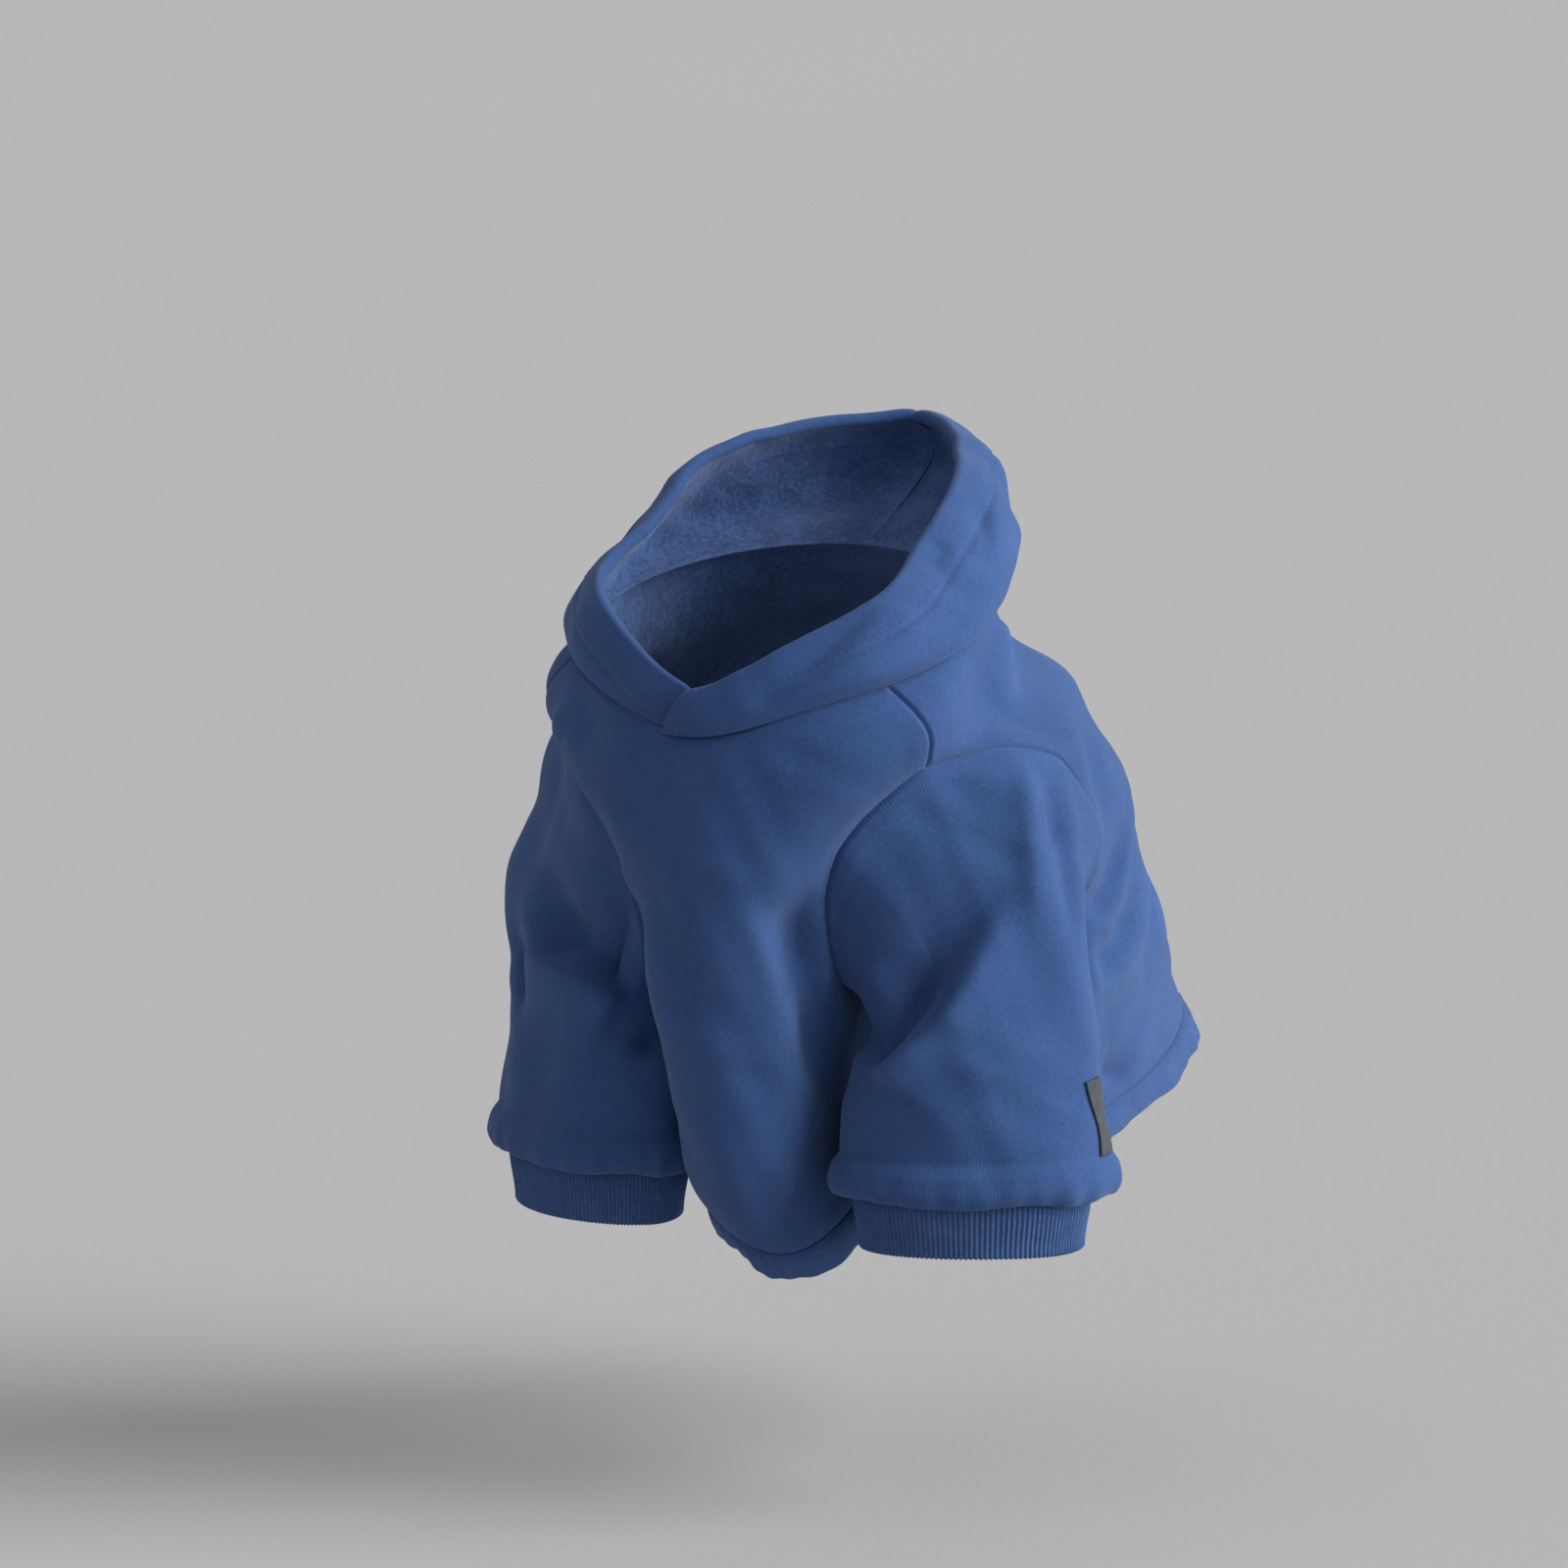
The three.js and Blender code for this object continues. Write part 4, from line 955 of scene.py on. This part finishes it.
class Value:
    """A node's output. An expression on values adds the Math nodes that work it out."""

    def __init__(self, tree, socket):
        self.tree = tree
        self.socket = socket

    def math(self, operation, *values):
        return self.tree.add("ShaderNodeMath", {"operation": operation}, values)

    def __add__(self, other):
        return self.math("ADD", self, other)

    def __sub__(self, other):
        return self.math("SUBTRACT", self, other)

    def __rsub__(self, other):
        return self.math("SUBTRACT", other, self)

    def __mul__(self, other):
        return self.math("MULTIPLY", self, other)

    def __truediv__(self, other):
        return self.math("DIVIDE", self, other)

    def __pow__(self, other):
        return self.math("POWER", self, other)

    __radd__ = __add__
    __rmul__ = __mul__

    def sine(self):
        return self.math("SINE", self)

    def cosine(self):
        return self.math("COSINE", self)

    def absolute(self):
        return self.math("ABSOLUTE", self)

    def fraction(self):
        return self.math("FRACT", self)

    def between(self, low, high):
        """How far the value is from low to high, held between 0 and 1."""
        settings = {"interpolation_type": "SMOOTHSTEP"}
        values = {"Value": self, "From Min": low, "From Max": high}
        return self.tree.add("ShaderNodeMapRange", settings, values)


class Tree:
    """A node tree and the one way to add a node to it."""

    def __init__(self, nodes):
        self.nodes = nodes

    def add(self, kind, settings=None, values=(), output=0):
        """A node with its settings first, then the values or links of its sockets, by order or by name."""
        node = self.nodes.nodes.new(kind)
        for name, setting in (settings or {}).items():
            setattr(node, name, setting)
        pairs = values.items() if isinstance(values, dict) else enumerate(values)
        for key, value in pairs:
            if isinstance(value, Value):
                self.nodes.links.new(value.socket, node.inputs[key])
            elif value is not None:
                node.inputs[key].default_value = value
        return Value(self, node.outputs[output]) if len(node.outputs) else None

    def noise(self, place, scale, detail, roughness=0.5):
        values = {"Vector": place, "Scale": scale, "Detail": detail, "Roughness": roughness}
        return self.add("ShaderNodeTexNoise", {}, values)

    def place(self):
        return self.add("ShaderNodeTexCoord", output=3)

    def attribute(self, name):
        return self.add("ShaderNodeAttribute", {"attribute_name": name}, output=2)

    def pattern(self):
        """The places across and down the cloth, in metres."""
        pattern = self.add("ShaderNodeUVMap", {"uv_map": "pattern"})
        across = self.add("ShaderNodeSeparateXYZ", {}, [pattern])
        return across, Value(self, across.socket.node.outputs[1])

    def mix(self, factor, first, second):
        values = {0: factor, 6: first, 7: second}
        return self.add("ShaderNodeMix", {"data_type": "RGBA"}, values, output=2)


def rgb(red, green, blue):
    """A colour given as it shows on screen, from 0 to 255, as a linear one."""
    channels = (red / 255, green / 255, blue / 255)
    return (*(c / 12.92 if c <= 0.04045 else ((c + 0.055) / 1.055) ** 2.4 for c in channels), 1)


def material_tree(name):
    material = bpy.data.materials.new(name)
    material.use_nodes = True
    material.node_tree.nodes.clear()
    return material, Tree(material.node_tree)


def finish_material(tree, color, roughness, height, distance, **constants):
    """The shader, with a bump from a height, 0 to 1, that stands for a distance in metres."""
    bump_node = tree.add("ShaderNodeBump", {}, {"Height": height, "Distance": distance, "Strength": 1.0})
    values = {"Base Color": color, "Roughness": roughness, "Normal": bump_node}
    values.update({key.replace("_", " "): value for key, value in constants.items()})
    shader = tree.add("ShaderNodeBsdfPrincipled", {}, values)
    tree.add("ShaderNodeOutputMaterial", {}, {"Surface": shader})


def jersey(tree, wale, course):
    """The height, 0 to 1, of a knit's face: upright wales of small V-shaped stitches."""
    across, down = tree.pattern()
    leg = ((across / wale).fraction() - 0.5).absolute() * 2
    stitch = ((down / course + leg * 0.5) * (2 * math.pi)).sine() * 0.5 + 0.5
    ridge = 1 - leg**2
    return ridge * 0.6 + ridge * stitch * 0.4


def cloth_colors(tree, place, dark, light, size, amount):
    """A colour that drifts between two dye shades, with finer mottling."""
    drift = tree.noise(place, 1 / size, 3)
    fibre = tree.noise(place, 1 / FIBRE_SIZE, 2)
    share = ((drift - 0.5) * amount + (fibre - 0.5) * (amount * 1.2) + 0.5).between(0, 1)
    return tree.mix(share, dark, light)


BLOOM = {
    "Sheen_Weight": 0.2,
    "Sheen_Roughness": 0.5,
    "Sheen_Tint": rgb(190, 203, 228),
    "Specular_IOR_Level": 0.2,
}


def fleece_face():
    """The smooth knitted face of sweatshirt fleece, with a light bloom of loose fibres and a painted
    highlight on its raised crests.
    """
    material, tree = material_tree("fleece_face")
    place = tree.place()
    color = cloth_colors(tree, place, rgb(39, 65, 111), rgb(53, 83, 134), DYE_DRIFT, 0.6)
    # Painted highlight: where the cloth's relief rises, on fold crests, seam puffs and the hem, the colour
    # is lightened towards a pale blue.
    crest_highlight = tree.attribute("relief").between(0.0, CREST_HIGHLIGHT_HEIGHT)
    color = tree.mix(crest_highlight * CREST_HIGHLIGHT_SHARE, color, rgb(86, 117, 168))
    fuzz = tree.noise(place, 1 / FUZZ_SIZE, 3, 0.6)
    height = jersey(tree, WALE, COURSE) * (1 - FUZZ_SHARE) + fuzz * FUZZ_SHARE
    finish_material(tree, color, 0.92, height, KNIT_DEPTH, **BLOOM)
    return material


def fleece_back():
    """The brushed inside of the fleece: short, soft pile."""
    material, tree = material_tree("fleece_back")
    place = tree.place()
    color = cloth_colors(tree, place, rgb(45, 70, 116), rgb(72, 100, 150), 0.012, 1.4)
    tufts = tree.noise(place, 1 / PILE_SIZE, 4, 0.7)
    finish_material(
        tree, color, 0.96, tufts, PILE_DEPTH,
        Sheen_Weight=0.5, Sheen_Roughness=0.6, Sheen_Tint=rgb(170, 190, 230), Specular_IOR_Level=0.1,
    )
    return material


def rib_knit():
    """The rib's plain knit, with painted shade in the grooves between the ribs: the ribs themselves are in
    the mesh.
    """
    material, tree = material_tree("rib_knit")
    place = tree.place()
    raised = (tree.attribute("rib") * (2 * math.pi)).cosine() * 0.5 + 0.5
    color = cloth_colors(tree, place, rgb(48, 74, 119), rgb(64, 93, 143), 0.02, 1.0)
    # Painted shade: the grooves between the raised ribs are darkened a quarter of the way towards a deep
    # blue.
    color = tree.mix(raised, tree.mix(0.25, color, rgb(22, 36, 70)), color)
    fuzz = tree.noise(place, 1 / RIB_FUZZ_SIZE, 3, 0.6)
    height = jersey(tree, RIB_WALE, COURSE) * (1 - RIB_FUZZ_SHARE) + fuzz * RIB_FUZZ_SHARE
    finish_material(tree, color, 0.9, height, KNIT_DEPTH, **BLOOM)
    return material


def woven_tape():
    """Plain woven tape, its warp and weft showing as a fine grid."""
    material, tree = material_tree("woven_tape")
    place = tree.place()
    across, down = tree.pattern()
    warp = (across * (2 * math.pi / TAPE_THREAD)).sine()
    weft = (down * (2 * math.pi / TAPE_THREAD)).sine()
    woven = warp * weft * 0.5 + 0.5
    color = cloth_colors(tree, place, rgb(44, 48, 56), rgb(66, 71, 80), 0.004, 1.0)
    color = tree.mix(woven * 0.3, color, rgb(96, 102, 112))
    finish_material(tree, color, 0.7, woven, TAPE_DEPTH, Specular_IOR_Level=0.3)
    return material


def thread(name, dark, light):
    """Twisted sewing thread."""
    material, tree = material_tree(name)
    place = tree.place()
    color = cloth_colors(tree, place, dark, light, 0.004, 1.0)
    twist = tree.noise(place, 1 / THREAD_TWIST, 2)
    finish_material(tree, color, 0.6, twist, THREAD_DEPTH, Specular_IOR_Level=0.3)
    return material


def modified(name, mesh, build, inputs, **tree_inputs):
    """The mesh that a Geometry Nodes tree makes of a mesh. build adds the nodes after the tree's inputs."""
    group = bpy.data.node_groups.new(name, "GeometryNodeTree")
    group.interface.new_socket("Geometry", in_out="INPUT", socket_type="NodeSocketGeometry")
    group.interface.new_socket("Geometry", in_out="OUTPUT", socket_type="NodeSocketGeometry")
    identifiers = {}
    for label in inputs:
        socket = group.interface.new_socket(label, in_out="INPUT", socket_type="NodeSocketFloat")
        identifiers[label] = socket.identifier
    tree = Tree(group)
    start = group.nodes.new("NodeGroupInput")
    sockets = {socket.name: Value(tree, socket) for socket in start.outputs if socket.name}
    made = build(tree, sockets, **tree_inputs)
    tree.add("NodeGroupOutput", {}, [made])
    carrier = new_object(name, mesh)
    modifier = carrier.modifiers.new(name, "NODES")
    modifier.node_group = group
    for label, size in inputs.items():
        modifier[identifiers[label]] = float(size)
    evaluated = carrier.evaluated_get(bpy.context.evaluated_depsgraph_get())
    result = bpy.data.meshes.new_from_object(evaluated)
    bpy.data.objects.remove(carrier)
    result.name = name
    return result


def ribs_raised(tree, given):
    """Lowers the cloth between the ribs, along its own surface's direction."""
    rib = tree.add("GeometryNodeInputNamedAttribute", {"data_type": "FLOAT"}, {"Name": "rib"})
    normal = tree.add("GeometryNodeInputNormal")
    profile = ((rib * (2 * math.pi)).cosine() * 0.5 + 0.5) ** 0.7
    depth = (profile - 1) * given["Rib depth"]
    offset = tree.add("ShaderNodeVectorMath", {"operation": "SCALE"}, {"Vector": normal, "Scale": depth})
    return tree.add("GeometryNodeSetPosition", {}, {"Geometry": given["Geometry"], "Offset": offset})


def ribbed(made):
    """Replaces a cuff's plain mesh by the one with its ribs raised."""
    mesh = made.piece.data
    materials = list(mesh.materials)
    raised = modified(made.piece.name + "_ribs", mesh, ribs_raised, {"Rib depth": RIB_DEPTH})
    made.piece.data = raised
    if not len(raised.materials):
        for material in materials:
            raised.materials.append(material)
    return made


def stitches_laid(tree, given, material):
    """Lays short threads end to end along each line of the geometry, flat on the cloth."""
    curve = tree.add("GeometryNodeMeshToCurve", {}, {"Mesh": given["Geometry"]})
    values = {"Curve": curve, "Length": given["Stitch pitch"]}
    evened = tree.add("GeometryNodeResampleCurve", {"mode": "LENGTH"}, values)
    grain = tree.add("GeometryNodeMeshUVSphere", {}, {"Segments": 6, "Rings": 5, "Radius": 0.5})
    length, width = given["Stitch length"], given["Thread width"]
    size = tree.add("ShaderNodeCombineXYZ", {}, [length, width, width])
    shaped = tree.add("GeometryNodeTransform", {}, {"Geometry": grain, "Scale": size})
    tangent = tree.add("GeometryNodeInputTangent")
    settings = {"data_type": "FLOAT_VECTOR"}
    outward = tree.add("GeometryNodeInputNamedAttribute", settings, {"Name": "outward"})
    turned = tree.add("FunctionNodeAlignRotationToVector", {"axis": "X"}, {"Vector": tangent})
    settings = {"axis": "Z", "pivot_axis": "X"}
    values = {"Rotation": turned, "Vector": outward}
    turned = tree.add("FunctionNodeAlignRotationToVector", settings, values)
    values = {"Points": evened, "Instance": shaped, "Rotation": turned}
    laid = tree.add("GeometryNodeInstanceOnPoints", {}, values)
    real = tree.add("GeometryNodeRealizeInstances", {}, {"Geometry": laid})
    return tree.add("GeometryNodeSetMaterial", {}, {"Geometry": real, "Material": material})


def stitching(name, rows, material, pitch):
    """Rows of stitches, each row the places it runs through and the outward directions there."""
    places = np.concatenate([row[0] for row in rows])
    outward = np.concatenate([row[1] for row in rows])
    edges, start = [], 0
    for row in rows:
        count = len(row[0])
        edges += [(start + i, start + i + 1) for i in range(count - 1)]
        start += count
    mesh = bpy.data.meshes.new(name + "_lines")
    mesh.from_pydata(places.tolist(), edges, [])
    vectors = mesh.attributes.new("outward", "FLOAT_VECTOR", "POINT")
    vectors.data.foreach_set("vector", outward.ravel().astype(np.float32))
    inputs = {"Stitch pitch": pitch, "Stitch length": STITCH_SHARE * pitch, "Thread width": THREAD_WIDTH}
    result = modified(name, mesh, stitches_laid, inputs, material=material)
    result.shade_smooth()
    return new_object(name + "_stitching", result)


def run_down(places):
    """How far each place of a grid is from its top edge, along the cloth."""
    steps = np.linalg.norm(np.diff(places, axis=0), axis=-1)
    return np.concatenate([np.zeros((1, steps.shape[1])), np.cumsum(steps, axis=0)])


def row_at(made, measure, value):
    """The places where a grid's measure passes a value, column by column, and the outward ways there."""
    places, normals = [], []
    for j in range(made.places.shape[1]):
        column_measure = measure[:, j]
        order = np.argsort(column_measure)
        at = np.interp(value, column_measure[order], order.astype(float))
        i = min(int(at), len(column_measure) - 2)
        places.append(lerp(made.places[i, j], made.places[i + 1, j], at - i))
        normals.append(made.normals[i, j])
    return np.array(places), np.array(normals)


fleece = (fleece_face(), fleece_back())
rib = (rib_knit(), rib_knit())
tape = (woven_tape(), woven_tape())
blue_thread = thread("blue_thread", rgb(40, 66, 114), rgb(58, 88, 140))
grey_thread = thread("grey_thread", rgb(60, 64, 72), rgb(92, 98, 108))

front = body_panel("front_panel_cloth", True, FRONT_COLUMNS, fleece)
back = body_panel("back_panel_cloth", False, BACK_COLUMNS, fleece)
hem = hem_band(fleece)
sleeves, cuffs, hoods = {}, {}, {}
for word, side in (("left", LEFT), ("right", RIGHT)):
    sleeves[word] = sleeve_cloth(f"sleeve_{word}_cloth", side, fleece)
    cuffs[word] = ribbed(cuff_tube(f"cuff_{word}_rib", side, rib))
    hoods[word] = hood_cloth(f"hood_{word}_cloth", side, fleece)
label = label_tape("sleeve_label_tape", LEFT, tape)

# Stitched lines
lines = {}
hem_row = row_at(hem, run_down(hem.places), HEM_STITCH_DOWN)
lines["hem"] = stitching("hem", [hem_row], blue_thread, STITCH_PITCH)
for word, made in hoods.items():
    run = run_down(made.places)
    casing_row = row_at(made, run[-1] - run, CASING_WIDTH)
    lines[f"hood_{word}"] = stitching(f"hood_{word}", [casing_row], blue_thread, STITCH_PITCH)
label_rows = [(label.places[i, 1:-1], label.normals[i, 1:-1]) for i in (2, -3)]
lines["label"] = stitching("label", label_rows, grey_thread, LABEL_STITCH_PITCH)

# What each piece stands for, its finish and the size it was cut to
Cut = namedtuple("Cut", "node width length share held")
CUTS = {
    front.piece: Cut("front_panel", 0.235, 0.25, 0.6, "draped"),
    back.piece: Cut("back_panel", 0.40, 0.27, 0.7, "draped"),
    hem.piece: Cut("hem_band", 0.60, 0.012, 1, "stretched"),
}
for word in ("left", "right"):
    CUTS[sleeves[word].piece] = Cut(f"sleeve_{word}", 0.26, 0.19, 0.75, "hung")
    CUTS[cuffs[word].piece] = Cut(f"cuff_{word}", 0.30, 0.02, 1, "stretched")
    CUTS[hoods[word].piece] = Cut(f"hood_{word}", 0.20, 0.06, 0.8, "draped")
CUTS[label.piece] = Cut("sleeve_label", LABEL_WIDTH, LABEL_LENGTH, 1, "laid")

for piece, cut in CUTS.items():
    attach(piece, "root")
    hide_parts(cut.node)
    kind = "rib_knit" if "cuff" in cut.node else "woven_tape" if "label" in cut.node else "fleece"
    area = cut.width * cut.length * cut.share
for key, piece in lines.items():
    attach(piece, "root")

# The stage
floor_mesh = bpy.data.meshes.new("floor")
floor_mesh.from_pydata(
    [(x * FLOOR_HALF, y * FLOOR_HALF, FLOOR_LEVEL) for x, y in ((-1, -1), (1, -1), (1, 1), (-1, 1))],
    [],
    [(0, 1, 2, 3)],
)
floor_material, floor_tree = material_tree("floor")
floor_place = floor_tree.place()
floor_color = floor_tree.mix(floor_tree.noise(floor_place, 2, 2), rgb(170, 170, 171), rgb(173, 173, 174))
finish_material(floor_tree, floor_color, 0.9, floor_tree.noise(floor_place, 300, 2), 0.0001)
floor = new_object("floor", floor_mesh, floor_material)

scene = bpy.context.scene
scene.world = bpy.data.worlds.new("studio")
scene.world.use_nodes = True
background = scene.world.node_tree.nodes["Background"]
background.inputs["Color"].default_value = rgb(229, 230, 232)
background.inputs["Strength"].default_value = WORLD_LIGHT
scene.view_settings.view_transform = "Standard"
scene.view_settings.look = "None"

view_back, view_right, view_up = (Vector(way) for way in (VIEW_BACK, VIEW_RIGHT, VIEW_UP))
target = Vector(AIMED_AT) - view_right * AIM_LEFT - view_up * AIM_DOWN


def lamp(name, kind, toward, distance, **settings):
    """A lamp that shines at the target. Its way is given as shares right, up and towards the camera."""
    data = bpy.data.lights.new(name, kind)
    for setting, value in settings.items():
        setattr(data, setting, value)
    right, up, back = toward
    way = (view_right * right + Vector((0, 0, up)) + view_back * back).normalized()
    made = bpy.data.objects.new(name, data)
    made.location = target + way * distance
    made.rotation_euler = way.to_track_quat("Z", "Y").to_euler()
    scene.collection.objects.link(made)


lamp("key", "SUN", KEY_WAY, 0, energy=KEY_STRENGTH, angle=KEY_SOFTNESS, color=rgb(255, 253, 250)[:3])
lamp(
    "fill", "AREA", FILL_WAY, FILL_DISTANCE,
    shape="SQUARE", size=FILL_SIZE, energy=FILL_POWER, color=rgb(246, 248, 252)[:3],
)

camera_data = bpy.data.cameras.new("camera")
camera_data.sensor_width = SENSOR
camera_data.lens = SENSOR * CAMERA_DISTANCE / FRAME_WIDTH
camera_data.clip_end = 100
camera = bpy.data.objects.new("camera", camera_data)
turned = Matrix((view_right, view_up, view_back)).transposed().to_4x4()
camera.matrix_world = Matrix.Translation(target + view_back.normalized() * CAMERA_DISTANCE) @ turned
scene.collection.objects.link(camera)
bpy.context.scene.camera = camera
